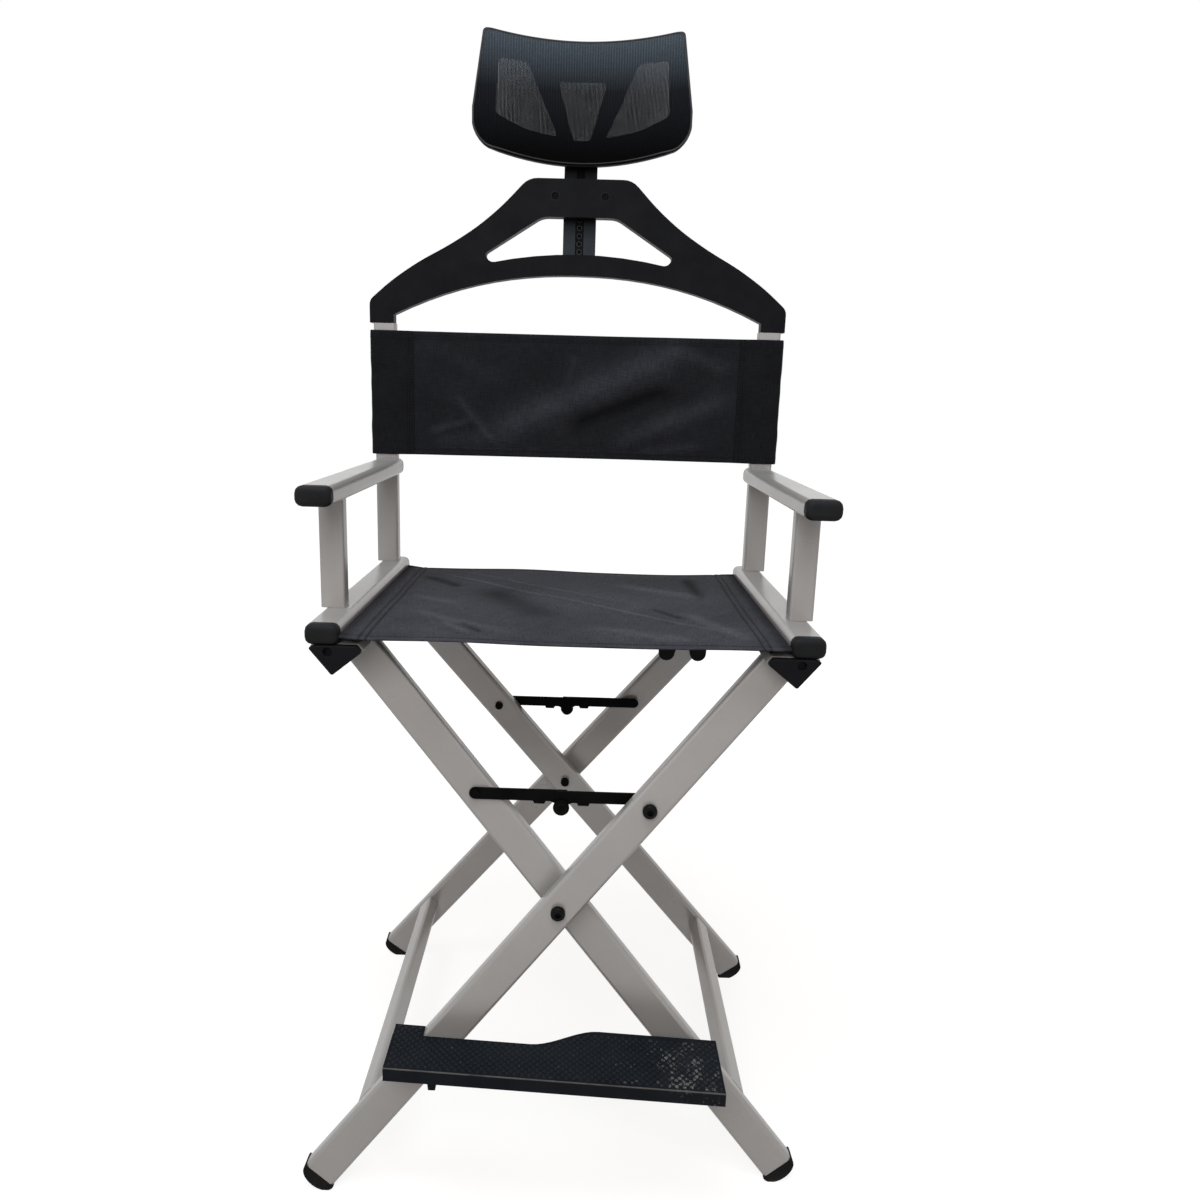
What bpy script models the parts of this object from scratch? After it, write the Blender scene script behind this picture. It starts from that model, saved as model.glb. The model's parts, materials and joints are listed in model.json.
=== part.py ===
"""A tall folding chair with a sling seat, a sling back, a footrest and a mesh headrest.

Metres, +Z up. The chair faces -Y. The origin lies on the floor under the middle of the chair.
The two crossed leg frames turn on one axis, and each is hinged under one seat rail.
"""
import math

import bmesh
import bpy
from mathutils import Vector
from mathutils.geometry import tessellate_polygon

# Clearances
GAP = 0.0003                 # between pieces that touch
RUNNING_GAP = 0.0005         # between pieces that turn or slide on each other
CUT_MARGIN = 0.004           # how far a cutting tool reaches past the face it cuts

# Leg frames
DEPTH_CENTRE = 0.0185        # middle of the leg frames, front to back
FOLD_ANGLE = math.radians(27.0)

# Seat rails
SEAT_HEIGHT = 0.720          # top of the rails
X_PIVOT_HEIGHT = SEAT_HEIGHT * 0.5155556
RAIL_SPACING = 0.550         # between the rails' centre lines
RAIL_LENGTH = 0.409          # with both end caps
RAIL_WIDTH = 0.039
RAIL_THICKNESS = 0.024
RAIL_CORNER = 0.008
RAIL_WALL = 0.0022
RAIL_CAP_LENGTH = 0.013      # front cap
RAIL_REAR_CAP_LENGTH = 0.007

# Armrests and posts
ARM_HEIGHT = SEAT_HEIGHT + 0.158     # top of the armrests
ARM_WIDTH = 0.040
ARM_THICKNESS = 0.023
ARM_CORNER = 0.008
ARM_WALL = 0.002
ARM_FRONT_REACH = 0.0155     # how far the armrest runs past the rail's front end
ARM_CAP_LENGTH = 0.014
ARM_REAR_CAP_LENGTH = 0.003
FRONT_POST_WIDTH = 0.030
FRONT_POST_SETBACK = 0.087   # post centre behind the rail's front end
FRONT_POST_OUTSET = 0.0075   # post centre outside the rail's centre line
REAR_POST_WIDTH = 0.032
REAR_POST_OUTSET = 0.006     # post centre outside the rail's centre line
REAR_POST_SETIN = 0.034      # post centre ahead of the rail's rear end
POST_DEPTH = 0.020
POST_CORNER = 0.004
POST_WALL = 0.002
BACK_POST_TOP = SEAT_HEIGHT + 0.354

# Hinge tubes under the rails
HINGE_SIDE = 0.045           # face that the legs are welded to
HINGE_INSET = 0.0283         # middle of that face, inboard of the rail's centre line
HINGE_DROP = 0.0217          # middle of that face, below the rail
HINGE_WALL = 0.0025
HINGE_AXIS_IN = 0.0038       # hinge axis, inside the tube's outer face
HINGE_AXIS_DROP = 0.0055     # hinge axis, below the rail
HINGE_CAP_LENGTH = 0.011
HINGE_CAP_BEVEL = 0.0025
HINGE_ROD_RADIUS = 0.002
HINGE_LUG_RADIUS = 0.0046
HINGE_LUG_LENGTH = 0.036
HINGE_LUG_SPREAD = 0.220     # between the two lugs of a rail
HINGE_NOTCH = 0.008          # room cut for a lug, from the hinge axis
HINGE_BOSS = 0.0095          # solid corner round the rod, from the hinge axis
RECESS_RADIUS = 0.0055       # screw recess in the hinge cap
RECESS_DEPTH = 0.006
RECESS_OUT = -0.0073         # recess, outside the rail's centre line
RECESS_DROP = 0.0075         # recess, below the rail

# Legs
LEG_WIDTH = 0.043
LEG_THICKNESS = 0.020
LEG_CORNER = 0.005
LEG_WALL = 0.002
LEG_SPLAY = 0.094            # fore and aft lean of the legs, per metre of height
INNER_LEG_SPACING = 0.318    # front to rear leg of the inner frame, at the crossing
LEG_GAP = 0.013              # between crossing legs
STRETCHER_HEIGHT = 0.099     # on the leg's middle line
STRETCHER_WIDTH = 0.030      # along the leg
STRETCHER_THICKNESS = 0.020
STRETCHER_INSET = 0.0015     # from the leg's upper side
STRETCHER_CORNER = 0.004
STRETCHER_WALL = 0.0018
FOOT_RIM = 0.0007            # how far the rubber foot stands proud of the leg
FOOT_COLLAR = 0.002
FOOT_DOME = 0.0135           # depth of the rubber foot below its collar
FOOT_BEVEL = 0.0025
FOOT_FLAT = 0.0016           # rubber cut away to stand flat

# Pivot bolts
BOLT_RADIUS = 0.004
BOLT_HEAD_RADIUS = 0.0088
BOLT_HEAD_LENGTH = 0.005
NUT_RADIUS = 0.0065
NUT_LENGTH = 0.005
SPACER_RADIUS = 0.012
LEAN_GAP = 0.0014            # under heads and nuts on the leaning legs

# Toggle braces
BRACE_REACH = 0.167          # brace pivot from the crossing, along the leg
BRACE_SAG = 0.013            # centre pivot below the end pivots when locked
BRACE_HEIGHT = 0.015
BRACE_THICKNESS = 0.0025
BRACE_FIRST_GAP = 0.0014     # left link from the inner leg
BRACE_SECOND_GAP = 0.0005    # right link from the left link
BRACE_PIN_RADIUS = 0.003
BRACE_RIVET_RADIUS = 0.006
BRACE_RIVET_LENGTH = 0.0025
KNOB_RADIUS = 0.010
KNOB_LENGTH = 0.004
STOP_TAB_LENGTH = 0.014
STOP_TAB_HEIGHT = 0.0035
STOP_TAB_INSET = 0.019       # stop tab from the centre pivot
BRACE_LOBE_RADIUS = 0.0085   # round end of a link, at the centre pivot

# Clip on the rear leg, under the seat
CLIP_HEIGHT = SEAT_HEIGHT - 0.1305
CLIP_LENGTH = 0.028
CLIP_JAW = 0.025
CLIP_SIDE = 0.0155           # how far a jaw stands out beyond half a leg's width
CLIP_THICKNESS = 0.005

# Footrest
FOOTREST_TOP = X_PIVOT_HEIGHT * 0.54580      # at the middle of the plate
FOOTREST_TILT = math.radians(2.8)
FOOTREST_LEFT_PAST = 0.05980  # ends of the plate, outside the legs' middle lines
FOOTREST_RIGHT_PAST = 0.06380
FOOTREST_FRONT = 0.275       # front edge ahead of the leg frames' middle
FOOTREST_LEG_GAP = 0.0010    # plate ahead of the outer leg, at its lower edge
FOOTREST_TURN_GAP = 0.0035   # plate ahead of the inner leg, which it turns on
FOOTREST_STEP_FROM = 0.3959  # step of the rear edge, as shares of the leg's place
FOOTREST_STEP_TO = -0.2159
FOOTREST_THICKNESS = 0.017
FOOTREST_SKIN = 0.003
FOOTREST_WALL = 0.0025
FOOTREST_PIN_DROP = 0.010    # pivot bolt below the plate's top
FOOTREST_BOSS_RADIUS = 0.0075
FOOTREST_BOSS_LENGTH = 0.014
FOOTREST_HEAD_RADIUS = 0.006
FOOTREST_HOOK_REACH = 0.017
FOOTREST_HOOK_DEPTH = 0.020
FOOTREST_HOOK_GAP = 0.0009   # hook from the side of the leaning leg
FOOTREST_LUG_PAST = 0.00380  # lug outside the leg's middle line
FOOTREST_LUG_WIDTH = 0.014
FOOTREST_LUG_LENGTH = 0.010
FOOTREST_LUG_DEPTH = 0.012
FOOTREST_LUG_SETBACK = 0.004 # lug behind the plate's front edge

# Slings
SLING_SHEET = 0.0016
SEAT_SAG = 0.001
SEAT_FRONT_INSET = 0.001     # cloth behind the rail's front end
SEAT_REAR_INSET = 0.012      # cloth ahead of the rail's rear end
WELT_RADIUS = 0.0034
WELT_INSET = 0.0065          # welt centre inside the rail's inner face
WELT_DROP = 0.0135           # welt centre below the rail's top
WELT_ROOM = 0.0008           # room round the welt and the cloth in the rail
BACK_SLING_TOP = BACK_POST_TOP - 0.010
BACK_SLING_BOTTOM = BACK_SLING_TOP - 0.180
SLEEVE_ROOM = 0.0006
SLEEVE_CLOTH = 0.002
BACK_BOW = 0.010             # how far the cloth sits back at the middle

# Headrest hanger, a moulded arch on the back posts
HANGER_THICKNESS = 0.018
HANGER_LEG_WIDTH = 0.035
HANGER_LEG_OUTSET = 0.0035   # middle of the hanger's leg outside the post's middle
HANGER_SHOULDER = BACK_POST_TOP + 0.032
HANGER_TOP = BACK_POST_TOP + 0.2035
HANGER_TOP_SHARE = 0.2606    # half width at the top, as a share of the post's place
HANGER_SLOPE = ((0.391, 0.1655), (0.516, 0.1365), (0.658, 0.1110), (0.8185, 0.0870),
                (0.961, 0.0600))     # shares of the post's place, and rises above the post
HANGER_TOP_ROUND = 0.013     # how far the corners are rounded along each side
HANGER_SLOPE_ROUND = 0.020
HANGER_SHOULDER_ROUND = 0.007
ARCH_TOP = BACK_POST_TOP + 0.0725
ARCH_FOOT = BACK_POST_TOP + 0.0125
ARCH_POINTS = 22
WINDOW_ROUND = 0.009
WINDOW_TIP_ROUND = 0.007
WINDOW_TOP_OUTER = 0.1886    # a share of the post's place, as for the tip
WINDOW_TOP = BACK_POST_TOP + 0.153
WINDOW_TOP_FALL = 0.001      # the top edge falls this much outward
WINDOW_BOTTOM = BACK_POST_TOP + 0.1015
WINDOW_TIP = (0.484, 0.0995)
WINDOW_TIP_LOW = (0.452, 0.0878)
SPIGOT_LENGTH = 0.030
SPIGOT_TIP_WIDTH = 0.013
SPIGOT_ROOM = 0.0006
SCREW_X = 0.0355
SCREW_HEIGHT = BACK_POST_TOP + 0.180
SCREW_RADIUS = 0.0021
SCREW_HEAD_RADIUS = 0.0043
SCREW_HEAD_LENGTH = 0.003
SCREW_RECESS = 0.0015

# Headrest post and its clamp
BAR_WIDTH = 0.047
BAR_THICKNESS = 0.010
BAR_BOTTOM = BACK_POST_TOP + 0.076
BAR_TOP = BACK_POST_TOP + 0.224
BAR_GROOVE_WIDTH = 0.012
BAR_GROOVE_DEPTH = 0.003
BAR_NOTCHES = 6
BAR_NOTCH_PITCH = 0.011
BAR_NOTCH_FIRST = BAR_BOTTOM + 0.032
BAR_NOTCH_SIZE = 0.005
BAR_NOTCH_DEPTH = 0.0025
CLAMP_WIDTH = 0.092
CLAMP_BOTTOM = SCREW_HEIGHT - 0.018
CLAMP_TOP = SCREW_HEIGHT + 0.018
CLAMP_BACK = 0.004
TILT_HEIGHT = BAR_TOP + 0.014
TILT_BARREL_RADIUS = 0.007
TILT_BARREL_HALF = 0.014
TILT_PIN_RADIUS = 0.0025
TILT_PIN_HEAD = 0.0045
TILT_PIN_HEAD_LENGTH = 0.002
EAR_THICKNESS = 0.006
EAR_RADIUS = 0.009

# Headrest
HEAD_HALF_WIDTH = 0.150
HEAD_TOP_HALF = 0.1365       # half width at the top corners
HEAD_TOP_CORNER = 0.008
HEAD_SIDE_RISE = 0.042       # widest place above the lower corners
HEAD_BOTTOM_MIDDLE = TILT_HEIGHT - 0.0185
HEAD_BOTTOM_SIDE = TILT_HEIGHT + 0.0045
HEAD_TOP_MIDDLE = HEAD_BOTTOM_MIDDLE + 0.160
HEAD_TOP_SIDE = HEAD_BOTTOM_SIDE + 0.147
HEAD_CORNER = 0.026
HEAD_FRONT = 0.1615          # front of the frame at its middle, behind the leg frames' middle
HEAD_CURVE = 0.030           # how far the sides come forward
HEAD_THICKNESS = 0.007
HEAD_STATIONS = 10           # across half of the flat part
MESH_THICKNESS = 0.002
MESH_RIM = 0.006             # frame left bare round the mesh
SIDE_WINDOW = ((0.116, 0.1165), (0.077, 0.1145), (0.033, 0.0190), (0.078, 0.0265),
               (0.120, 0.0440))      # rises above the tilt axis
MIDDLE_WINDOW = ((-0.0345, 0.0920), (0.0345, 0.0920), (0.012, 0.0145), (-0.012, 0.0145))
HEAD_WINDOW_ROUND = 0.007

# Facets
CORNER_STEPS = 3
ROUND_STEPS = 20
SMALL_ROUND_STEPS = 12

# Values that follow from the sizes above
RAIL_X = RAIL_SPACING / 2
RAIL_BOTTOM = SEAT_HEIGHT - RAIL_THICKNESS
RAIL_FRONT = DEPTH_CENTRE - RAIL_LENGTH / 2
RAIL_REAR = DEPTH_CENTRE + RAIL_LENGTH / 2
RAIL_MID_HEIGHT = SEAT_HEIGHT - RAIL_THICKNESS / 2
ARM_FRONT = RAIL_FRONT - ARM_FRONT_REACH
ARM_MID_HEIGHT = ARM_HEIGHT - ARM_THICKNESS / 2
FRONT_POST_Y = RAIL_FRONT + FRONT_POST_SETBACK
REAR_POST_X = RAIL_X + REAR_POST_OUTSET
REAR_POST_Y = RAIL_REAR - REAR_POST_SETIN
HINGE_FACE_X = RAIL_X - HINGE_INSET
HINGE_FACE_Z = RAIL_BOTTOM - HINGE_DROP
LEG_ANGLE = math.atan2(HINGE_FACE_X, HINGE_FACE_Z - X_PIVOT_HEIGHT)
LEG_SINE = math.sin(LEG_ANGLE)
LEG_COSINE = math.cos(LEG_ANGLE)
HINGE_Z = RAIL_BOTTOM - HINGE_AXIS_DROP
HINGE_AXIS_RISE = (HINGE_Z - HINGE_FACE_Z) * LEG_SINE
HINGE_X = HINGE_FACE_X + (HINGE_SIDE / 2 - HINGE_AXIS_IN + HINGE_AXIS_RISE) / LEG_COSINE
INNER_LEG_Y = INNER_LEG_SPACING / 2
OUTER_LEG_Y = INNER_LEG_Y + LEG_THICKNESS * math.hypot(1.0, LEG_SPLAY) + LEG_GAP
FACE_OFFSET = LEG_THICKNESS / 2 * math.hypot(1.0, LEG_SPLAY)
WELT_X = RAIL_X - RAIL_WIDTH / 2 + WELT_INSET
WELT_Z = SEAT_HEIGHT - WELT_DROP
BAR_FRONT = REAR_POST_Y + HANGER_THICKNESS / 2 + RUNNING_GAP
BAR_BACK = BAR_FRONT + BAR_THICKNESS
TILT_Y = (BAR_FRONT + BAR_BACK) / 2
HEAD_Y = DEPTH_CENTRE + HEAD_FRONT
FOOTREST_LEG_X = (X_PIVOT_HEIGHT - FOOTREST_TOP) * LEG_SINE / LEG_COSINE
FOOTREST_LEFT = FOOTREST_LEG_X + FOOTREST_LEFT_PAST
FOOTREST_RIGHT = FOOTREST_LEG_X + FOOTREST_RIGHT_PAST
FOOTREST_LUG_X = -FOOTREST_LEG_X - FOOTREST_LUG_PAST
BRACE_X = BRACE_REACH * LEG_SINE
BRACE_Z = X_PIVOT_HEIGHT + BRACE_REACH * LEG_COSINE


def clear_scene():
    """Remove what the file starts with."""
    for thing in list(bpy.data.objects):
        bpy.data.objects.remove(thing)


def make_material(name, colour, roughness, metallic):
    """A plain surface with its colour, roughness and metallic value."""
    material = bpy.data.materials.new(name)
    material.use_nodes = True
    surface = material.node_tree.nodes["Principled BSDF"]
    surface.inputs["Base Color"].default_value = (*colour, 1.0)
    surface.inputs["Roughness"].default_value = roughness
    surface.inputs["Metallic"].default_value = metallic
    return material


def make_materials():
    """All surfaces of the chair by name."""
    return {
        "aluminium": make_material("satin_aluminium", (0.55, 0.56, 0.58), 0.38, 1.0),
        "plastic": make_material("black_plastic", (0.014, 0.014, 0.015), 0.45, 0.0),
        "rubber": make_material("black_rubber", (0.010, 0.010, 0.010), 0.7, 0.0),
        "steel": make_material("black_steel", (0.020, 0.020, 0.021), 0.4, 0.6),
        "cloth": make_material("black_cloth", (0.018, 0.019, 0.022), 0.8, 0.0),
        "mesh": make_material("black_mesh", (0.012, 0.012, 0.012), 0.85, 0.0),
    }


class Body:
    """One moving group: an empty on its joint's axis that carries its pieces."""

    def __init__(self, name, origin, parent=None):
        self.origin = Vector(origin)
        self.empty = bpy.data.objects.new(name, None)
        bpy.context.collection.objects.link(self.empty)
        self.empty.location = self.origin
        if parent is not None:
            self.empty.parent = parent.empty
            self.empty.location = self.origin - parent.origin


def mesh_from_faces(name, points, faces):
    """A closed mesh with its faces turned outward."""
    mesh = bpy.data.meshes.new(name)
    mesh.from_pydata([tuple(point) for point in points], [], faces)
    shape = bmesh.new()
    shape.from_mesh(mesh)
    bmesh.ops.recalc_face_normals(shape, faces=shape.faces)
    shape.to_mesh(mesh)
    shape.free()
    mesh.shade_smooth()
    mesh.set_sharp_from_angle(angle=math.radians(35))
    return mesh


def add_piece(name, shape, body, material):
    """Put a shape, given as world points and faces, into the model under its body."""
    points, faces = shape
    local = [point - body.origin for point in points]
    piece = bpy.data.objects.new(name, mesh_from_faces(name, local, faces))
    piece.data.materials.append(material)
    piece.parent = body.empty
    bpy.context.collection.objects.link(piece)
    return piece


def add_tool(name, shape, body):
    """A hidden shape that cuts or joins another piece."""
    points, faces = shape
    local = [point - body.origin for point in points]
    tool = bpy.data.objects.new(name, mesh_from_faces(name, local, faces))
    tool.parent = body.empty
    tool.hide_render = True
    tool.display_type = "WIRE"
    bpy.context.collection.objects.link(tool)
    return tool


def use_tool(piece, tool, operation):
    """Cut a piece with a tool, or join the tool to it."""
    change = piece.modifiers.new(tool.name, "BOOLEAN")
    change.operation = operation
    change.object = tool
    change.solver = "EXACT"


def cut(piece, name, shape, body):
    use_tool(piece, add_tool(name, shape, body), "DIFFERENCE")


def join(piece, name, shape, body):
    use_tool(piece, add_tool(name, shape, body), "UNION")


def add_bevel(piece, width, segments, angle):
    """Round the edges that are sharper than an angle in degrees."""
    bevel = piece.modifiers.new("rounded_edges", "BEVEL")
    bevel.width = width
    bevel.segments = segments
    bevel.limit_method = "ANGLE"
    bevel.angle_limit = math.radians(angle)


def arc(centre, radius, start, end, steps):
    """Points on an arc, with angles in degrees."""
    points = []
    for step in range(steps + 1):
        angle = math.radians(start + (end - start) * step / steps)
        points.append((centre[0] + radius * math.cos(angle), centre[1] + radius * math.sin(angle)))
    return points


def circle(centre, radius, steps=ROUND_STEPS):
    return arc(centre, radius, 0.0, 360.0, steps)[:-1]


def rounded_rectangle(width, height, corner, centre=(0.0, 0.0)):
    """A rectangle with round corners, counter-clockwise."""
    points = []
    corners = ((1, 1, 0.0), (-1, 1, 90.0), (-1, -1, 180.0), (1, -1, 270.0))
    for side, level, start in corners:
        middle = (centre[0] + side * (width / 2 - corner), centre[1] + level * (height / 2 - corner))
        points += arc(middle, corner, start, start + 90.0, CORNER_STEPS)
    return points


def tube_outline(width, height, corner, wall):
    """Outer and inner outline of a rectangular tube."""
    inner_corner = max(corner - wall, wall / 2)
    return [rounded_rectangle(width, height, corner),
            rounded_rectangle(width - 2 * wall, height - 2 * wall, inner_corner)]


def prism(outlines, start, end):
    """A solid between two placed copies of an outline. Further outlines are holes."""
    flat = [point for outline in outlines for point in outline]
    count = len(flat)
    points = [start(*point) for point in flat] + [end(*point) for point in flat]
    rings = [[Vector((point[0], point[1], 0.0)) for point in outline] for outline in outlines]
    caps = tessellate_polygon(rings)
    faces = [tuple(triangle) for triangle in caps]
    faces += [tuple(index + count for index in triangle) for triangle in caps]
    first = 0
    for outline in outlines:
        size = len(outline)
        for index in range(size):
            here = first + index
            there = first + (index + 1) % size
            faces.append((here, there, there + count, here + count))
        first += size
    return points, faces


def prism_y(outlines, front, rear):
    """A solid along Y from an outline in X and Z."""
    return prism(outlines, lambda x, z: Vector((x, front, z)), lambda x, z: Vector((x, rear, z)))


def prism_z(outlines, bottom, top):
    """A solid along Z from an outline in X and Y."""
    return prism(outlines, lambda x, y: Vector((x, y, bottom)), lambda x, y: Vector((x, y, top)))


def prism_x(outlines, left, right):
    """A solid along X from an outline in Y and Z."""
    return prism(outlines, lambda y, z: Vector((left, y, z)), lambda y, z: Vector((right, y, z)))


def loft(rings):
    """A solid through rings of equally many points, closed at both ends."""
    size = len(rings[0])
    points = [point for ring in rings for point in ring]
    faces = [tuple(range(size))]
    for level in range(len(rings) - 1):
        for index in range(size):
            here = level * size + index
            there = level * size + (index + 1) % size
            faces.append((here, there, there + size, here + size))
    faces.append(tuple(range((len(rings) - 1) * size, len(rings) * size)))
    return points, faces


def turned(profile, place, steps=ROUND_STEPS):
    """A solid turned from (distance, radius) pairs. place(distance, a, b) gives world points."""
    rings = []
    for distance, radius in profile:
        rings.append([place(distance, a, b) for a, b in circle((0.0, 0.0), radius, steps)])
    return loft(rings)


def along_y(x, z):
    """Placement for a turned piece on an axis along Y."""
    return lambda distance, a, b: Vector((x + a, distance, z + b))


def along_x(y, z):
    """Placement for a turned piece on an axis along X."""
    return lambda distance, a, b: Vector((distance, y + a, z + b))


def rod_y(x, z, radius, front, rear, steps=ROUND_STEPS):
    return turned(((front, radius), (rear, radius)), along_y(x, z), steps)


def rounded_polygon(corners, reaches, steps=4):
    """A closed outline whose corners are rounded, each from its own distance before to after the corner."""
    outline = []
    count = len(corners)
    for index, (place, reach) in enumerate(zip(corners, reaches)):
        corner = Vector(place)
        before = Vector(corners[index - 1]) - corner
        after = Vector(corners[(index + 1) % count]) - corner
        reach = min(reach, before.length * 0.48, after.length * 0.48)
        if reach <= 0.0:
            outline.append(tuple(corner))
            continue
        first = corner + before.normalized() * reach
        last = corner + after.normalized() * reach
        for step in range(steps + 1):
            share = step / steps
            rest = 1.0 - share
            outline.append(tuple(first * rest * rest + corner * 2.0 * rest * share + last * share * share))
    return outline


def mirror_outline(outline):
    """The same outline on the other side of the chair."""
    return [(-point[0], point[1]) for point in reversed(outline)]


def to_side(outline, side):
    """An outline drawn for the right side, placed on side 1 (right) or -1 (left)."""
    return list(outline) if side > 0 else mirror_outline(outline)


def rounded_cap(outline_for, front, rear, edge):
    """An end cap along Y whose front edge is rounded. outline_for(inset) gives its outline."""
    rings = []
    for inset, depth in ((1.0, 0.0), (0.45, 0.16), (0.12, 0.5), (0.0, 1.0)):
        y = front + depth * edge
        rings.append([Vector((x, y, z)) for x, z in outline_for(inset * abs(edge))])
    rings.append([Vector((x, rear, z)) for x, z in outline_for(0.0)])
    return loft(rings)


# Side frames

def rail_outline():
    """Section of the right seat rail, with the slot that holds the seat cloth."""
    outline = rounded_rectangle(RAIL_WIDTH, RAIL_THICKNESS, RAIL_CORNER, (RAIL_X, RAIL_MID_HEIGHT))
    slot_half = SLING_SHEET / 2 + WELT_ROOM
    room = WELT_RADIUS + WELT_ROOM
    mouth = math.degrees(math.asin(slot_half / room))
    inner_face = RAIL_X - RAIL_WIDTH / 2
    slot = [(inner_face, WELT_Z + slot_half)]
    slot += arc((WELT_X, WELT_Z), room, 180.0 - mouth, mouth - 180.0, ROUND_STEPS - 4)
    slot.append((inner_face, WELT_Z - slot_half))
    upper = [point for point in outline if point[1] > WELT_Z]
    lower = [point for point in outline if point[1] <= WELT_Z]
    return upper + slot + lower


def rail_hollow():
    """The closed chamber of the rail, beside the slot."""
    slot_end = WELT_X + WELT_RADIUS + WELT_ROOM + RAIL_WALL
    outer_end = RAIL_X + RAIL_WIDTH / 2 - RAIL_WALL
    width = outer_end - slot_end
    height = RAIL_THICKNESS - 2 * RAIL_WALL
    return rounded_rectangle(width, height, RAIL_CORNER - RAIL_WALL,
                             ((slot_end + outer_end) / 2, RAIL_MID_HEIGHT))


def lug_outline():
    """Hinge lug under the right rail, round at the hinge axis."""
    top = RAIL_BOTTOM + RAIL_WALL / 2
    outline = arc((HINGE_X, HINGE_Z), HINGE_LUG_RADIUS, 180.0, 360.0, 10)
    return outline + [(HINGE_X + HINGE_LUG_RADIUS, top), (HINGE_X - HINGE_LUG_RADIUS, top)]


def lug_ends(extra):
    """Front and rear end of each hinge lug, lengthened by a clearance."""
    ends = []
    for place in (-1, 1):
        middle = DEPTH_CENTRE + place * HINGE_LUG_SPREAD / 2
        ends.append((middle - HINGE_LUG_LENGTH / 2 - extra, middle + HINGE_LUG_LENGTH / 2 + extra))
    return ends


def add_seat_rail(name, side, body, materials):
    """Seat rail with its hinge lugs and its two end caps."""
    outlines = [to_side(rail_outline(), side), to_side(rail_hollow(), side)]
    front = RAIL_FRONT + RAIL_CAP_LENGTH + GAP
    rear = RAIL_REAR - RAIL_REAR_CAP_LENGTH - GAP
    rail = add_piece(name + "_seat_rail", prism_y(outlines, front, rear), body, materials["aluminium"])
    lug = to_side(lug_outline(), side)
    for number, (lug_front, lug_rear) in enumerate(lug_ends(0.0)):
        join(rail, f"{name}_rail_lug_{number}", prism_y([lug], lug_front, lug_rear), body)
    bore = rod_y(side * HINGE_X, HINGE_Z, HINGE_ROD_RADIUS + GAP, front - CUT_MARGIN,
                 rear + CUT_MARGIN, SMALL_ROUND_STEPS)
    cut(rail, name + "_rail_bore", bore, body)

    def cap_outline(inset):
        return rounded_rectangle(RAIL_WIDTH - 2 * inset, RAIL_THICKNESS - 2 * inset,
                                 RAIL_CORNER - inset / 2, (side * RAIL_X, RAIL_MID_HEIGHT))

    edge = RAIL_CORNER * 0.8
    front_cap = rounded_cap(cap_outline, RAIL_FRONT, RAIL_FRONT + RAIL_CAP_LENGTH, edge)
    rear_cap = rounded_cap(cap_outline, RAIL_REAR, RAIL_REAR - RAIL_REAR_CAP_LENGTH, -edge)
    add_piece(name + "_rail_front_cap", front_cap, body, materials["plastic"])
    add_piece(name + "_rail_rear_cap", rear_cap, body, materials["plastic"])


def add_posts(name, side, body, materials):
    """Front and rear posts of one side frame. The rear one also carries the back."""
    bottom = SEAT_HEIGHT + GAP
    front_top = ARM_HEIGHT - ARM_THICKNESS - GAP
    front_x = side * (RAIL_X + FRONT_POST_OUTSET)
    rear_x = side * REAR_POST_X
    places = (("front_post", front_x, FRONT_POST_Y, FRONT_POST_WIDTH, front_top),
              ("rear_post", rear_x, REAR_POST_Y, REAR_POST_WIDTH, BACK_POST_TOP))
    for part, x, y, width, top in places:
        outlines = tube_outline(width, POST_DEPTH, POST_CORNER, POST_WALL)
        placed = [[(x + a, y + b) for a, b in outline] for outline in outlines]
        add_piece(f"{name}_{part}", prism_z(placed, bottom, top), body, materials["aluminium"])


def add_armrest(name, side, body, materials):
    """Armrest tube between its front cap and the rear post."""
    outlines = tube_outline(ARM_WIDTH, ARM_THICKNESS, ARM_CORNER, ARM_WALL)
    placed = [[(side * RAIL_X + a, ARM_MID_HEIGHT + b) for a, b in outline] for outline in outlines]
    rear = REAR_POST_Y - POST_DEPTH / 2 - GAP
    tube_front = ARM_FRONT + ARM_CAP_LENGTH + GAP
    tube_rear = rear - ARM_REAR_CAP_LENGTH - GAP
    tube = prism_y(placed, tube_front, tube_rear)
    add_piece(name + "_armrest", tube, body, materials["aluminium"])

    def cap_outline(inset):
        return rounded_rectangle(ARM_WIDTH - 2 * inset, ARM_THICKNESS - 2 * inset,
                                 ARM_CORNER - inset / 2, (side * RAIL_X, ARM_MID_HEIGHT))

    edge = ARM_CORNER * 0.8
    front_cap = rounded_cap(cap_outline, ARM_FRONT, ARM_FRONT + ARM_CAP_LENGTH, edge)
    add_piece(name + "_armrest_front_cap", front_cap, body, materials["plastic"])
    rear_cap = prism_y([cap_outline(0.0)], tube_rear + GAP, rear)
    add_piece(name + "_armrest_rear_cap", rear_cap, body, materials["plastic"])


# Hinge tubes, the top members of the leg frames

def hinge_point(up, inward):
    """A point of the right hinge tube's section, from its lower outer corner."""
    corner_x = HINGE_FACE_X + LEG_COSINE * HINGE_SIDE / 2
    corner_z = HINGE_FACE_Z - LEG_SINE * HINGE_SIDE / 2
    return (corner_x + LEG_SINE * up - LEG_COSINE * inward, corner_z + LEG_COSINE * up + LEG_SINE * inward)


def hinge_up(inward, height):
    """How far up the section a level height lies, at a distance in from the outer face."""
    return (height - hinge_point(0.0, inward)[1]) / LEG_COSINE


def hinge_axis_place():
    """The hinge axis in the section's own directions: up and inward."""
    corner = hinge_point(0.0, 0.0)
    across = (HINGE_X - corner[0], HINGE_Z - corner[1])
    up = across[0] * LEG_SINE + across[1] * LEG_COSINE
    inward = -across[0] * LEG_COSINE + across[1] * LEG_SINE
    return up, inward


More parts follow.
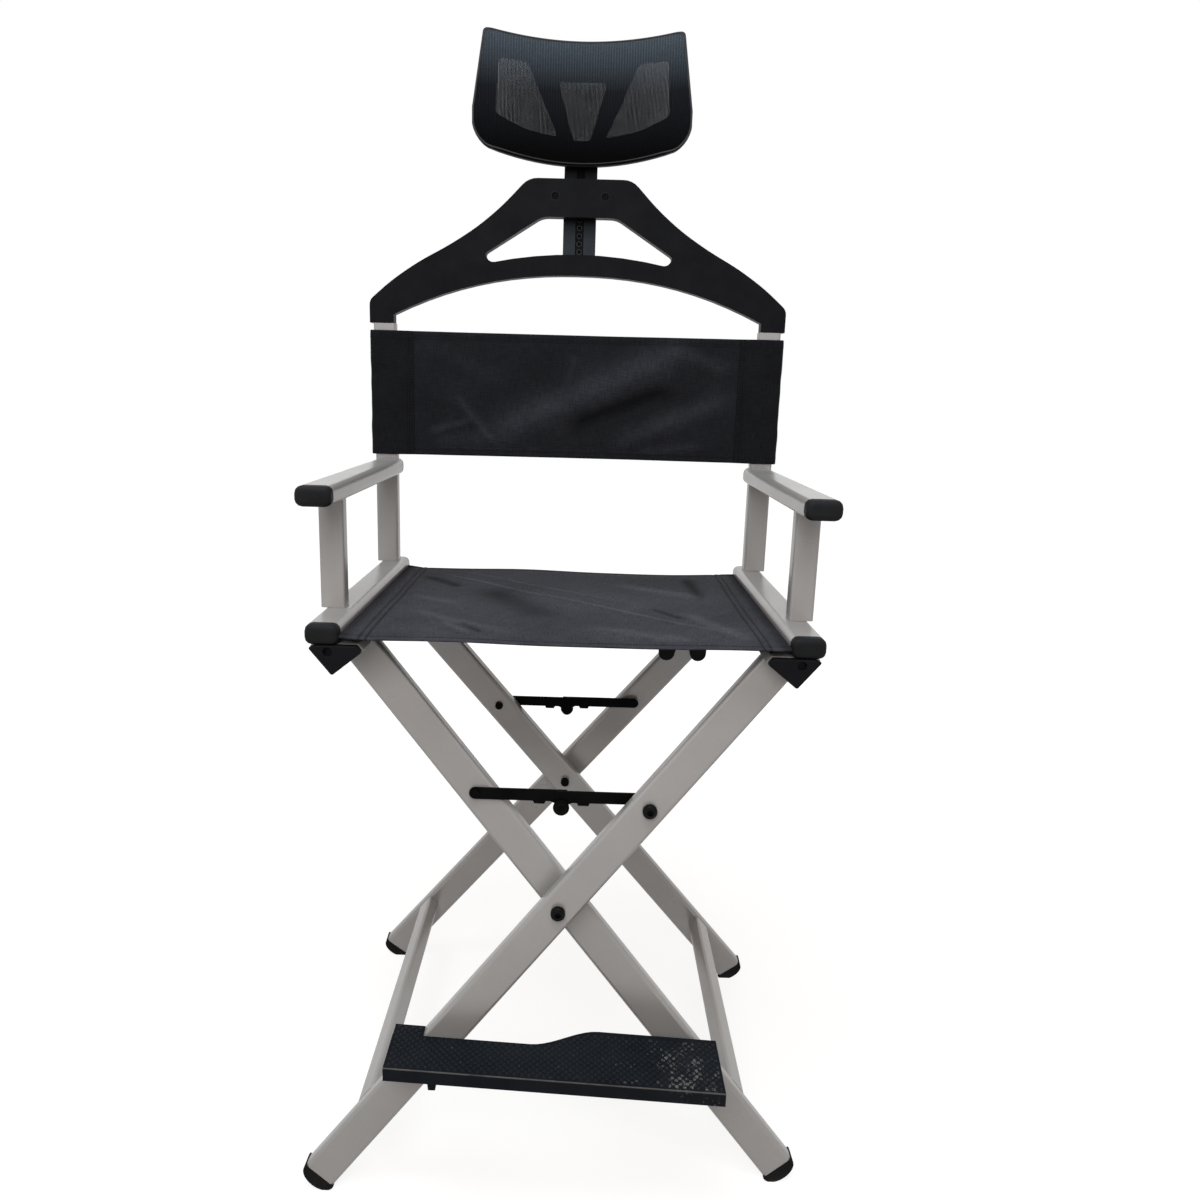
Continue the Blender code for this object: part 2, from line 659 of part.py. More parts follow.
def hinge_outline():
    """Section of the right hinge tube: flat under the rail, and cut away where it folds up to it."""
    level = RAIL_BOTTOM - GAP
    reach = HINGE_AXIS_DROP - 2 * GAP
    tilt_sine = math.sin(FOLD_ANGLE)
    tilt_cosine = math.cos(FOLD_ANGLE)
    top_break_x = HINGE_X + (reach - (level - HINGE_Z) * tilt_cosine) / tilt_sine
    corner = hinge_point(0.0, 0.0)
    start = tilt_sine * (corner[0] - HINGE_X) + tilt_cosine * (corner[1] - HINGE_Z)
    slope = tilt_sine * LEG_SINE + tilt_cosine * LEG_COSINE
    outer_break = hinge_point((reach - start) / slope, 0.0)
    inner_top = hinge_point(hinge_up(HINGE_SIDE, level), HINGE_SIDE)
    return [corner, outer_break, (top_break_x, level), inner_top, hinge_point(0.0, HINGE_SIDE)]


def hinge_hollow():
    """Chamber of the hinge tube, beside the solid corner that holds the rod."""
    axis_up, axis_in = hinge_axis_place()
    ceiling = RAIL_BOTTOM - GAP - HINGE_WALL
    inner = HINGE_SIDE - HINGE_WALL
    boss_in = axis_in + HINGE_BOSS
    boss_up = axis_up - HINGE_BOSS
    return [hinge_point(HINGE_WALL, HINGE_WALL), hinge_point(boss_up, HINGE_WALL),
            hinge_point(boss_up, boss_in), hinge_point(hinge_up(boss_in, ceiling), boss_in),
            hinge_point(hinge_up(inner, ceiling), inner), hinge_point(HINGE_WALL, inner)]


def notch_outline():
    """Room for a rail's lug in the tube's upper outer corner."""
    axis_up, axis_in = hinge_axis_place()
    low = axis_up - HINGE_NOTCH
    high = axis_up + 2 * HINGE_NOTCH
    deep = axis_in + HINGE_NOTCH
    out = -HINGE_NOTCH
    return [hinge_point(low, out), hinge_point(high, out), hinge_point(high, deep), hinge_point(low, deep)]


def add_hinge_tube(name, side, body, materials):
    """Hinge tube, its rod and its two end caps."""
    front = RAIL_FRONT + HINGE_CAP_LENGTH + GAP
    rear = RAIL_REAR - HINGE_CAP_LENGTH - GAP
    bore = circle((HINGE_X, HINGE_Z), HINGE_ROD_RADIUS + GAP, SMALL_ROUND_STEPS)
    outlines = [to_side(outline, side) for outline in (hinge_outline(), hinge_hollow(), bore)]
    tube = add_piece(name + "_hinge_tube", prism_y(outlines, front, rear), body, materials["aluminium"])
    notch = to_side(notch_outline(), side)
    for number, (notch_front, notch_rear) in enumerate(lug_ends(RUNNING_GAP)):
        cut(tube, f"{name}_hinge_notch_{number}", prism_y([notch], notch_front, notch_rear), body)
    rod = rod_y(side * HINGE_X, HINGE_Z, HINGE_ROD_RADIUS, front, rear, SMALL_ROUND_STEPS)
    add_piece(name + "_hinge_rod", rod, body, materials["steel"])
    recess_x = side * (RAIL_X + RECESS_OUT)
    for part, face, way in (("front", RAIL_FRONT, 1), ("rear", RAIL_REAR, -1)):
        end = face + way * HINGE_CAP_LENGTH
        outline = to_side(hinge_outline(), side)
        shape = prism_y([outline], face, end)
        cap = add_piece(f"{name}_hinge_{part}_cap", shape, body, materials["plastic"])
        add_bevel(cap, HINGE_CAP_BEVEL, 2, 60)
        recess = rod_y(recess_x, RAIL_BOTTOM - RECESS_DROP, RECESS_RADIUS, face - way * CUT_MARGIN,
                       face + way * RECESS_DEPTH, SMALL_ROUND_STEPS)
        cut(cap, f"{name}_hinge_{part}_recess", recess, body)


# Legs. A leg is given by the side of its top end (1 right, -1 left), the end of the chair
# (1 rear, -1 front) and its distance from the middle at the crossing.

def leg_y(end, distance, z):
    """Middle of a leg, front to back, at a height."""
    return DEPTH_CENTRE + end * (distance - LEG_SPLAY * (z - X_PIVOT_HEIGHT))


def leg_axes(top_side, end):
    """Directions of a leg: along it (up), across its width and across its thickness."""
    along = Vector((top_side * LEG_SINE, -end * LEG_SPLAY * LEG_COSINE, LEG_COSINE)).normalized()
    through = Vector((0.0, 1.0, end * LEG_SPLAY)).normalized()
    across = through.cross(along)
    return along, across, through


def leg_point(end, distance, x, z):
    """A point on the middle plane of a leg."""
    return Vector((x, leg_y(end, distance, z), z))


def foot_centre(top_side, end, distance):
    """Middle of the foot's collar line, low enough that the foot stands flat."""
    z = math.hypot((LEG_WIDTH / 2 + FOOT_RIM) * LEG_SINE, FOOT_DOME * LEG_COSINE) - FOOT_FLAT
    x = -top_side * (X_PIVOT_HEIGHT - z) * LEG_SINE / LEG_COSINE
    return leg_point(end, distance, x, z)


def add_leg(name, top_side, end, distance, body, materials, bores):
    """One leg tube. bores are (x, z, radius) holes through it."""
    along, across, through = leg_axes(top_side, end)
    base = foot_centre(top_side, end, distance) + along * FOOT_COLLAR
    weld_normal = Vector((top_side * LEG_SINE, 0.0, LEG_COSINE))
    weld_point = Vector((top_side * HINGE_FACE_X, 0.0, HINGE_FACE_Z)) - weld_normal * GAP

    def lower(a, b):
        return base + across * a + through * b

    def upper(a, b):
        start = lower(a, b)
        return start + along * ((weld_point - start).dot(weld_normal) / along.dot(weld_normal))

    outlines = tube_outline(LEG_WIDTH, LEG_THICKNESS, LEG_CORNER, LEG_WALL)
    leg = add_piece(name + "_leg", prism(outlines, lower, upper), body, materials["aluminium"])
    for number, (x, z, radius) in enumerate(bores):
        middle = leg_y(end, distance, z)
        bore = rod_y(x, z, radius, middle - LEG_THICKNESS, middle + LEG_THICKNESS, SMALL_ROUND_STEPS)
        cut(leg, f"{name}_leg_bore_{number}", bore, body)


def add_foot(name, top_side, end, distance, body, materials):
    """Domed rubber foot on the end of a leg, cut flat on the floor."""
    along, across, through = leg_axes(top_side, end)
    centre = foot_centre(top_side, end, distance)
    radius = LEG_WIDTH / 2 + FOOT_RIM
    half = LEG_THICKNESS / 2 + FOOT_RIM
    collar = FOOT_COLLAR - GAP
    dome = [(a, b * FOOT_DOME / radius) for a, b in arc((0.0, 0.0), radius, 180.0, 360.0, ROUND_STEPS)]
    outline = [(radius, collar), (-radius, collar)] + dome
    front = lambda a, b: centre + across * a + along * b - through * half
    rear = lambda a, b: centre + across * a + along * b + through * half
    foot = add_piece(name + "_foot", prism([outline], front, rear), body, materials["rubber"])
    add_bevel(foot, FOOT_BEVEL, 2, 40)
    size = LEG_WIDTH
    floor = rounded_rectangle(2 * size, 2 * size, CUT_MARGIN, (centre.x, centre.y))
    cut(foot, name + "_foot_floor", prism_z([floor], -size, 0.0), body)


def add_stretcher(name, top_side, distance, body, materials):
    """Tube that joins the two legs of a frame near their feet."""
    z = STRETCHER_HEIGHT
    x = -top_side * (X_PIVOT_HEIGHT - z) * LEG_SINE / LEG_COSINE
    along = (top_side * LEG_SINE, LEG_COSINE)
    across = (LEG_COSINE, -top_side * LEG_SINE)
    offset = -top_side * (LEG_WIDTH / 2 - STRETCHER_INSET - STRETCHER_THICKNESS / 2)

    def end_at(end):
        def place(width, b):
            a = width + offset
            px = x + across[0] * a + along[0] * b
            pz = z + across[1] * a + along[1] * b
            return Vector((px, leg_y(end, distance - FACE_OFFSET - GAP, pz), pz))
        return place

    outlines = tube_outline(STRETCHER_THICKNESS, STRETCHER_WIDTH, STRETCHER_CORNER, STRETCHER_WALL)
    tube = prism(outlines, end_at(-1), end_at(1))
    add_piece(name + "_stretcher", tube, body, materials["aluminium"])


def add_x_bolt(name, end, body, materials):
    """Bolt at the crossing, with the spacer between the legs and the nut on the inner leg."""
    outer = DEPTH_CENTRE + end * (OUTER_LEG_Y + FACE_OFFSET + LEAN_GAP)
    outer_inside = DEPTH_CENTRE + end * (OUTER_LEG_Y - FACE_OFFSET - LEAN_GAP)
    inner_outside = DEPTH_CENTRE + end * (INNER_LEG_Y + FACE_OFFSET + LEAN_GAP)
    inner = DEPTH_CENTRE + end * (INNER_LEG_Y - FACE_OFFSET - LEAN_GAP)
    head = outer + end * BOLT_HEAD_LENGTH
    nut = inner - end * NUT_LENGTH
    profile = ((head, BOLT_HEAD_RADIUS * 0.7), (head - end * BOLT_HEAD_LENGTH * 0.4, BOLT_HEAD_RADIUS),
               (outer, BOLT_HEAD_RADIUS), (outer, BOLT_RADIUS),
               (outer_inside, BOLT_RADIUS), (outer_inside, SPACER_RADIUS),
               (inner_outside, SPACER_RADIUS), (inner_outside, BOLT_RADIUS),
               (inner, BOLT_RADIUS), (inner, NUT_RADIUS), (nut, NUT_RADIUS))
    add_piece(name, turned(profile, along_y(0.0, X_PIVOT_HEIGHT)), body, materials["steel"])


# Toggle braces. They lie between the crossing legs, the left link on the inner frame and the
# right link on the outer frame.

def brace_layer(end, start):
    """Faces of a link, front to back, from its distance out of the inner leg's outer face."""
    face = leg_y(end, INNER_LEG_Y + FACE_OFFSET, BRACE_Z)
    near = face + end * start
    return near, near + end * BRACE_THICKNESS


def brace_outline(side):
    """Level link from its end pivot on a leg, with a stop tab below and a lobe down to the centre pivot."""
    half = BRACE_HEIGHT / 2
    top = BRACE_Z + half
    bottom = BRACE_Z - half
    tab_end = STOP_TAB_INSET + STOP_TAB_LENGTH
    lobe = arc((0.0, BRACE_Z - BRACE_SAG), BRACE_LOBE_RADIUS, 150.0, 380.0, 12)
    past = -BRACE_LOBE_RADIUS * 0.8
    outline = [(past, top), (past, BRACE_Z - half / 2)] + lobe
    outline += [(STOP_TAB_INSET * 0.7, bottom), (STOP_TAB_INSET, bottom),
                (STOP_TAB_INSET + STOP_TAB_HEIGHT / 2, bottom - STOP_TAB_HEIGHT),
                (tab_end, bottom - STOP_TAB_HEIGHT), (tab_end + STOP_TAB_HEIGHT / 2, bottom)]
    outline += arc((BRACE_X, BRACE_Z), half, -90.0, 90.0, 8)
    return to_side(outline, side)


def add_brace(name, end, outer_body, inner_body, left_body, right_body, materials):
    """Two links of a toggle brace, the pivots on the legs and the knob at the centre."""
    left_near, left_far = brace_layer(end, BRACE_FIRST_GAP)
    right_near, right_far = brace_layer(end, BRACE_FIRST_GAP + BRACE_THICKNESS + BRACE_SECOND_GAP)
    bore = BRACE_PIN_RADIUS + GAP
    links = ((-1, "left", left_near, left_far, left_body), (1, "right", right_near, right_far, right_body))
    for side, word, near, far, body in links:
        hole = circle((side * BRACE_X, BRACE_Z), bore, SMALL_ROUND_STEPS)
        link = prism_y([brace_outline(side), hole], near, far)
        add_piece(f"{name}_brace_{word}_link", link, body, materials["steel"])

    inner_back = leg_y(end, INNER_LEG_Y - FACE_OFFSET - LEAN_GAP, BRACE_Z)
    rivet_seat = left_far + end * GAP
    rivet = ((rivet_seat + end * BRACE_RIVET_LENGTH, BRACE_RIVET_RADIUS), (rivet_seat, BRACE_RIVET_RADIUS),
             (rivet_seat, BRACE_PIN_RADIUS), (inner_back, BRACE_PIN_RADIUS),
             (inner_back, BRACE_RIVET_RADIUS), (inner_back - end * BRACE_RIVET_LENGTH, BRACE_RIVET_RADIUS))
    shape = turned(rivet, along_y(-BRACE_X, BRACE_Z), SMALL_ROUND_STEPS)
    add_piece(name + "_brace_rivet", shape, inner_body, materials["steel"])

    outer_front = leg_y(end, OUTER_LEG_Y + FACE_OFFSET + LEAN_GAP, BRACE_Z)
    head = outer_front + end * BOLT_HEAD_LENGTH
    tail_seat = right_near - end * GAP
    tail = tail_seat - end * (BRACE_RIVET_LENGTH - BRACE_SECOND_GAP)
    bolt = ((head, BOLT_HEAD_RADIUS * 0.7), (head - end * BOLT_HEAD_LENGTH * 0.4, BOLT_HEAD_RADIUS),
            (outer_front, BOLT_HEAD_RADIUS), (outer_front, BRACE_PIN_RADIUS),
            (tail_seat, BRACE_PIN_RADIUS), (tail_seat, BRACE_RIVET_RADIUS), (tail, BRACE_RIVET_RADIUS))
    shape = turned(bolt, along_y(BRACE_X, BRACE_Z), SMALL_ROUND_STEPS)
    add_piece(name + "_brace_bolt", shape, outer_body, materials["steel"])

    knob_seat = right_far + end * GAP
    knob_end = knob_seat + end * KNOB_LENGTH
    knob = ((knob_end, KNOB_RADIUS * 0.8), (knob_end - end * KNOB_LENGTH * 0.3, KNOB_RADIUS),
            (knob_seat, KNOB_RADIUS))
    shape = turned(knob, along_y(0.0, BRACE_Z - BRACE_SAG))
    add_piece(name + "_brace_knob", shape, right_body, materials["steel"])


def add_leg_clip(body, materials):
    """Black clip with two round jaws side by side, level on the outer rear leg under the seat."""
    through = leg_axes(1, 1)[2]
    across = Vector((1.0, 0.0, 0.0))
    along = across.cross(through)
    x = (CLIP_HEIGHT - X_PIVOT_HEIGHT) * LEG_SINE / LEG_COSINE
    centre = leg_point(1, OUTER_LEG_Y, x, CLIP_HEIGHT)
    half = LEG_WIDTH / 2 + CLIP_SIDE
    top = CLIP_LENGTH / 2
    jaw_half = CLIP_JAW / 2
    saddle = half - CLIP_JAW
    outline = [(half, top), (-half, top)]
    outline += arc((jaw_half - half, jaw_half - top), jaw_half, 180.0, 360.0, 8)
    outline += arc((0.0, jaw_half - top), saddle, 180.0, 0.0, 6)
    outline += arc((half - jaw_half, jaw_half - top), jaw_half, 180.0, 360.0, 8)
    outline = [point for index, point in enumerate(outline)
               if index == 0 or math.dist(point, outline[index - 1]) > GAP]
    near = -LEG_THICKNESS / 2 - GAP
    far = near - CLIP_THICKNESS
    clip = prism([outline], lambda a, b: centre + across * a + along * b + through * far,
                 lambda a, b: centre + across * a + along * b + through * near)
    add_piece("leg_clip", clip, body, materials["plastic"])


# Footrest

def footrest_pin():
    """Pivot of the footrest, on the middle line of the inner front leg."""
    z = FOOTREST_TOP - FOOTREST_PIN_DROP
    x = 0.0
    for _ in range(8):
        x = (X_PIVOT_HEIGHT - z) * LEG_SINE / LEG_COSINE
        z = FOOTREST_TOP - x * math.tan(FOOTREST_TILT) - FOOTREST_PIN_DROP
    return x, z


def footrest_left_rear():
    """Rear edge of the plate's shallow half, ahead of the outer leg."""
    lowest = FOOTREST_TOP - FOOTREST_THICKNESS
    return leg_y(-1, OUTER_LEG_Y + FACE_OFFSET + FOOTREST_LEG_GAP, lowest)


def footrest_right_rear():
    """Rear edge of the plate's deep half, ahead of the inner leg where that leans furthest forward."""
    reach = math.hypot(FOOTREST_RIGHT, X_PIVOT_HEIGHT - FOOTREST_TOP)
    lowest = X_PIVOT_HEIGHT - reach * LEG_COSINE
    return leg_y(-1, INNER_LEG_Y + FACE_OFFSET + FOOTREST_TURN_GAP, lowest)


def footrest_outline():
    """Plan of the plate. Its rear edge steps back beside the outer leg."""
    front = DEPTH_CENTRE - FOOTREST_FRONT
    left_rear = footrest_left_rear()
    right_rear = footrest_right_rear()
    outline = [(-FOOTREST_LEFT, front), (FOOTREST_RIGHT, front), (FOOTREST_RIGHT, right_rear)]
    steps = 10
    for step in range(steps + 1):
        share = step / steps
        ease = share * share * (3.0 - 2.0 * share)
        x = FOOTREST_LEG_X * (FOOTREST_STEP_FROM + (FOOTREST_STEP_TO - FOOTREST_STEP_FROM) * share)
        outline.append((x, right_rear + (left_rear - right_rear) * ease))
    outline.append((-FOOTREST_LEFT, left_rear))
    return outline


def inset_outline(outline, distance):
    """An outline moved inward by a distance on every side, counter-clockwise."""
    count = len(outline)
    moved = []
    for index in range(count):
        before = Vector(outline[index - 1])
        here = Vector(outline[index])
        after = Vector(outline[(index + 1) % count])
        first = (here - before).normalized()
        second = (after - here).normalized()
        normal = Vector((-first.y - second.y, first.x + second.x))
        scale = 2.0 * distance / normal.length_squared
        moved.append(tuple(here + normal * scale))
    return moved


def footrest_place(x, y, below):
    """World point of the tilted plate, from plan position and depth below its top."""
    top = FOOTREST_TOP - x * math.tan(FOOTREST_TILT)
    return Vector((x, y, top - below))


def add_footrest(body, leg_body, materials):
    """Moulded plate with a skirt, a pivot boss, a hook for the outer leg and a lug."""
    outline = footrest_outline()
    shell = prism([outline], lambda x, y: footrest_place(x, y, FOOTREST_THICKNESS),
                  lambda x, y: footrest_place(x, y, 0.0))
    plate = add_piece("footrest_plate", shell, body, materials["plastic"])
    pocket = prism([inset_outline(outline, FOOTREST_WALL)],
                   lambda x, y: footrest_place(x, y, FOOTREST_THICKNESS + CUT_MARGIN),
                   lambda x, y: footrest_place(x, y, FOOTREST_SKIN))
    cut(plate, "footrest_pocket", pocket, body)

    pin_x, pin_z = footrest_pin()
    rear = footrest_right_rear()
    boss_front = rear - FOOTREST_BOSS_LENGTH
    boss_half = FOOTREST_BOSS_RADIUS
    boss_top = pin_z + FOOTREST_PIN_DROP - FOOTREST_SKIN / 2
    boss_outline = arc((pin_x, pin_z), boss_half, 180.0, 360.0, 8)
    boss_outline += [(pin_x + boss_half, boss_top), (pin_x - boss_half, boss_top)]
    join(plate, "footrest_boss", prism_y([boss_outline], boss_front, rear - FOOTREST_WALL / 2), body)

    side_slope = LEG_SINE / LEG_COSINE
    half_width = LEG_WIDTH / 2 / LEG_COSINE
    hook_rear = footrest_left_rear()
    hook_left = -FOOTREST_LEFT + GAP
    hook_top = footrest_place(hook_left, 0.0, GAP).z
    hook_bottom = hook_top - FOOTREST_HOOK_DEPTH
    leg_side = lambda z: -(X_PIVOT_HEIGHT - z) * side_slope - half_width - FOOTREST_HOOK_GAP
    hook_fall = hook_top - footrest_place(leg_side(hook_top), 0.0, GAP).z
    hook = [(hook_left, hook_bottom), (leg_side(hook_bottom), hook_bottom),
            (leg_side(hook_top - hook_fall), hook_top - hook_fall), (hook_left, hook_top)]
    hook_start = hook_rear - FOOTREST_WALL / 2
    join(plate, "footrest_hook", prism_y([hook], hook_start, hook_rear + FOOTREST_HOOK_REACH), body)

    lug_top = footrest_place(FOOTREST_LUG_X, 0.0, FOOTREST_SKIN / 2).z
    lug_bottom = lug_top - FOOTREST_THICKNESS - FOOTREST_LUG_LENGTH
    lug_half = FOOTREST_LUG_WIDTH / 2
    lug = [(FOOTREST_LUG_X - lug_half * 0.6, lug_bottom), (FOOTREST_LUG_X + lug_half * 0.6, lug_bottom),
           (FOOTREST_LUG_X + lug_half, lug_top), (FOOTREST_LUG_X - lug_half, lug_top)]
    lug_front = DEPTH_CENTRE - FOOTREST_FRONT + FOOTREST_LUG_SETBACK
    join(plate, "footrest_lug", prism_y([lug], lug_front, lug_front + FOOTREST_LUG_DEPTH), body)

    bore = rod_y(pin_x, pin_z, BRACE_PIN_RADIUS + GAP, boss_front - CUT_MARGIN, rear + CUT_MARGIN,
                 SMALL_ROUND_STEPS)
    cut(plate, "footrest_bore", bore, body)

    head_seat = boss_front - GAP
    head = head_seat - BRACE_RIVET_LENGTH
    nut_seat = leg_y(-1, INNER_LEG_Y - FACE_OFFSET - LEAN_GAP, pin_z)
    profile = ((head, FOOTREST_HEAD_RADIUS), (head_seat, FOOTREST_HEAD_RADIUS),
               (head_seat, BRACE_PIN_RADIUS), (nut_seat, BRACE_PIN_RADIUS),
               (nut_seat, NUT_RADIUS), (nut_seat + NUT_LENGTH, NUT_RADIUS))
    shape = turned(profile, along_y(pin_x, pin_z), SMALL_ROUND_STEPS)
    add_piece("footrest_pivot_bolt", shape, leg_body, materials["steel"])


# Slings

def add_seat_sling(body, materials):
    """Seat cloth with a welt along each side, held in the slots of the rails."""
    half_sheet = SLING_SHEET / 2
    mouth = math.degrees(math.asin(half_sheet / WELT_RADIUS))
    steps = 16
    upper = []
    lower = []
    for step in range(1, steps):
        share = step / steps
        x = -WELT_X + WELT_RADIUS + (2 * WELT_X - 2 * WELT_RADIUS) * share
        z = WELT_Z - SEAT_SAG * 4.0 * share * (1.0 - share)
        upper.append((x, z + half_sheet))
        lower.append((x, z - half_sheet))
    right = arc((WELT_X, WELT_Z), WELT_RADIUS, mouth - 180.0, 180.0 - mouth, 12)
    left = arc((-WELT_X, WELT_Z), WELT_RADIUS, mouth, 360.0 - mouth, 12)
    outline = lower + right + list(reversed(upper)) + left
    front = RAIL_FRONT + RAIL_CAP_LENGTH + GAP
    rear = RAIL_REAR - SEAT_REAR_INSET
    sling = add_piece("seat_sling", prism_y([outline], front, rear), body, materials["cloth"])
    edge = RAIL_X - RAIL_WIDTH / 2 - RUNNING_GAP
    lip = [point for point in lower + list(reversed(upper)) if abs(point[0]) < edge]
    join(sling, "seat_sling_lip", prism_y([lip], RAIL_FRONT + SEAT_FRONT_INSET, front + CUT_MARGIN), body)


def add_back_sling(body, materials):
    """Back cloth with a sleeve round each rear post."""
    inner_width = REAR_POST_WIDTH + 2 * SLEEVE_ROOM
    inner_depth = POST_DEPTH + 2 * SLEEVE_ROOM
    outer_width = inner_width + 2 * SLEEVE_CLOTH
    outer_depth = inner_depth + 2 * SLEEVE_CLOTH
    corner = POST_CORNER + SLEEVE_ROOM
    right_hole = rounded_rectangle(inner_width, inner_depth, corner, (REAR_POST_X, REAR_POST_Y))
    sleeve = rounded_rectangle(outer_width, outer_depth, corner + SLEEVE_CLOTH, (REAR_POST_X, REAR_POST_Y))
    seam_x = REAR_POST_X - outer_width / 2
    front_face = REAR_POST_Y - outer_depth / 2
    sheet_front = front_face + corner
    steps = 16
    front_line = []
    rear_line = []
    for step in range(steps + 1):
        share = step / steps
        x = -seam_x + 2 * seam_x * share
        y = sheet_front + BACK_BOW * 4.0 * share * (1.0 - share)
        front_line.append((x, y))
        rear_line.append((x, y + SLING_SHEET))
    right_part = [point for point in sleeve if point[0] > seam_x + GAP]
    order = sorted(right_part, key=lambda point: math.atan2(point[1] - REAR_POST_Y, point[0] - REAR_POST_X))
    left_part = mirror_outline(order)
    outline = front_line + order + list(reversed(rear_line)) + left_part
    holes = [right_hole, mirror_outline(right_hole)]
    shape = prism_z([outline] + holes, BACK_SLING_BOTTOM, BACK_SLING_TOP)
    add_piece("back_sling", shape, body, materials["cloth"])


# Headrest hanger, post and headrest

def hanger_point(share, rise):
    """A point of the arch, from its share of the post's place and its rise above the post."""
    return (share * REAR_POST_X, BACK_POST_TOP + rise)


def hanger_outline():
    """Front view of the moulded arch."""
    leg_out = REAR_POST_X + HANGER_LEG_OUTSET + HANGER_LEG_WIDTH / 2
    leg_in = REAR_POST_X + HANGER_LEG_OUTSET - HANGER_LEG_WIDTH / 2
    foot = BACK_POST_TOP + GAP
    right = [(leg_out, foot), (leg_out, HANGER_SHOULDER)]
    right += [hanger_point(*place) for place in reversed(HANGER_SLOPE)]
    right.append((HANGER_TOP_SHARE * REAR_POST_X, HANGER_TOP))
    rounds = [0.0, HANGER_SHOULDER_ROUND] + [HANGER_SLOPE_ROUND] * len(HANGER_SLOPE) + [HANGER_TOP_ROUND]
    arch = [(leg_in, foot)]
    for step in range(ARCH_POINTS + 1):
        x = leg_in - 2 * leg_in * step / ARCH_POINTS
        share = abs(x) / leg_in
        arch.append((x, ARCH_TOP - (ARCH_TOP - ARCH_FOOT) * share ** 2.2))
    arch.append((-leg_in, foot))
    left = [(-x, z) for x, z in reversed(right)]
    corners = right + left + list(reversed(arch))
    return rounded_polygon(corners, rounds + list(reversed(rounds)) + [0.0] * len(arch))


def window_outline():
    """Opening of the hanger in front of the post: an arch below, a level top and two round tips."""
    tip = hanger_point(*WINDOW_TIP)
    tip_low = hanger_point(*WINDOW_TIP_LOW)
    right = [tip_low, tip, (WINDOW_TOP_OUTER * REAR_POST_X, WINDOW_TOP - WINDOW_TOP_FALL)]
    rounds = [WINDOW_TIP_ROUND, WINDOW_TIP_ROUND, WINDOW_ROUND]
    sill = []
    for step in range(1, 8):
        share = step / 4 - 1.0
        sill.append((tip_low[0] * share, WINDOW_BOTTOM - (WINDOW_BOTTOM - tip_low[1]) * share * share))
    left = [(-x, z) for x, z in reversed(right)]
    return rounded_polygon(right + left + sill, rounds + list(reversed(rounds)) + [0.0] * len(sill))


def spigot(side):
    """Tapered plug of the hanger in the top of a post."""
    width = REAR_POST_WIDTH - 2 * POST_WALL - 2 * SPIGOT_ROOM
    depth = POST_DEPTH - 2 * POST_WALL - 2 * SPIGOT_ROOM
    inner = REAR_POST_X - width / 2
    top = BACK_POST_TOP + GAP + CUT_MARGIN
    rings = []
    tip = BACK_POST_TOP - SPIGOT_LENGTH
    for z, ring_width in ((top, width), (BACK_POST_TOP, width), (tip, SPIGOT_TIP_WIDTH)):
        outline = rounded_rectangle(ring_width, depth, POST_WALL, (inner + ring_width / 2, REAR_POST_Y))
        rings.append([Vector((x, y, z)) for x, y in to_side(outline, side)])
    return loft(rings)


def add_hanger(body, materials):
    """Moulded arch, the clamp behind it and the two screws that hold the clamp."""
    front = REAR_POST_Y - HANGER_THICKNESS / 2
    rear = REAR_POST_Y + HANGER_THICKNESS / 2
    shape = prism_y([hanger_outline(), window_outline()], front, rear)
    hanger = add_piece("headrest_hanger", shape, body, materials["plastic"])
    for side, word in ((1, "right"), (-1, "left")):
        join(hanger, f"hanger_{word}_spigot", spigot(side), body)
        x = side * SCREW_X
        hole = ((front - CUT_MARGIN, SCREW_HEAD_RADIUS + GAP),
                (front + SCREW_RECESS + SCREW_HEAD_LENGTH + GAP, SCREW_HEAD_RADIUS + GAP),
                (front + SCREW_RECESS + SCREW_HEAD_LENGTH + GAP, SCREW_RADIUS + GAP),
                (rear + CUT_MARGIN, SCREW_RADIUS + GAP))
        cut(hanger, f"hanger_{word}_screw_hole",
            turned(hole, along_y(x, SCREW_HEIGHT), SMALL_ROUND_STEPS), body)
        head = front + SCREW_RECESS
        screw = ((head, SCREW_HEAD_RADIUS), (head + SCREW_HEAD_LENGTH, SCREW_HEAD_RADIUS),
                 (head + SCREW_HEAD_LENGTH, SCREW_RADIUS), (BAR_BACK, SCREW_RADIUS))
        add_piece(f"hanger_{word}_screw", turned(screw, along_y(x, SCREW_HEIGHT), SMALL_ROUND_STEPS),
                  body, materials["steel"])

    half = CLAMP_WIDTH / 2
    room = BAR_WIDTH / 2 + RUNNING_GAP
    clamp_front = rear + GAP
    clamp_inner = BAR_BACK + RUNNING_GAP
    clamp_back = clamp_inner + CLAMP_BACK
    outline = [(-half, clamp_front), (-room, clamp_front), (-room, clamp_inner), (room, clamp_inner),
               (room, clamp_front), (half, clamp_front), (half, clamp_back), (-half, clamp_back)]
    clamp = add_piece("headrest_post_clamp", prism_z([outline], CLAMP_BOTTOM, CLAMP_TOP), body,
                      materials["plastic"])
    for side, word in ((1, "right"), (-1, "left")):
        hole = rod_y(side * SCREW_X, SCREW_HEIGHT, SCREW_RADIUS + GAP, clamp_front - CUT_MARGIN,
                     BAR_BACK + GAP, SMALL_ROUND_STEPS)
        cut(clamp, f"clamp_{word}_screw_hole", hole, body)


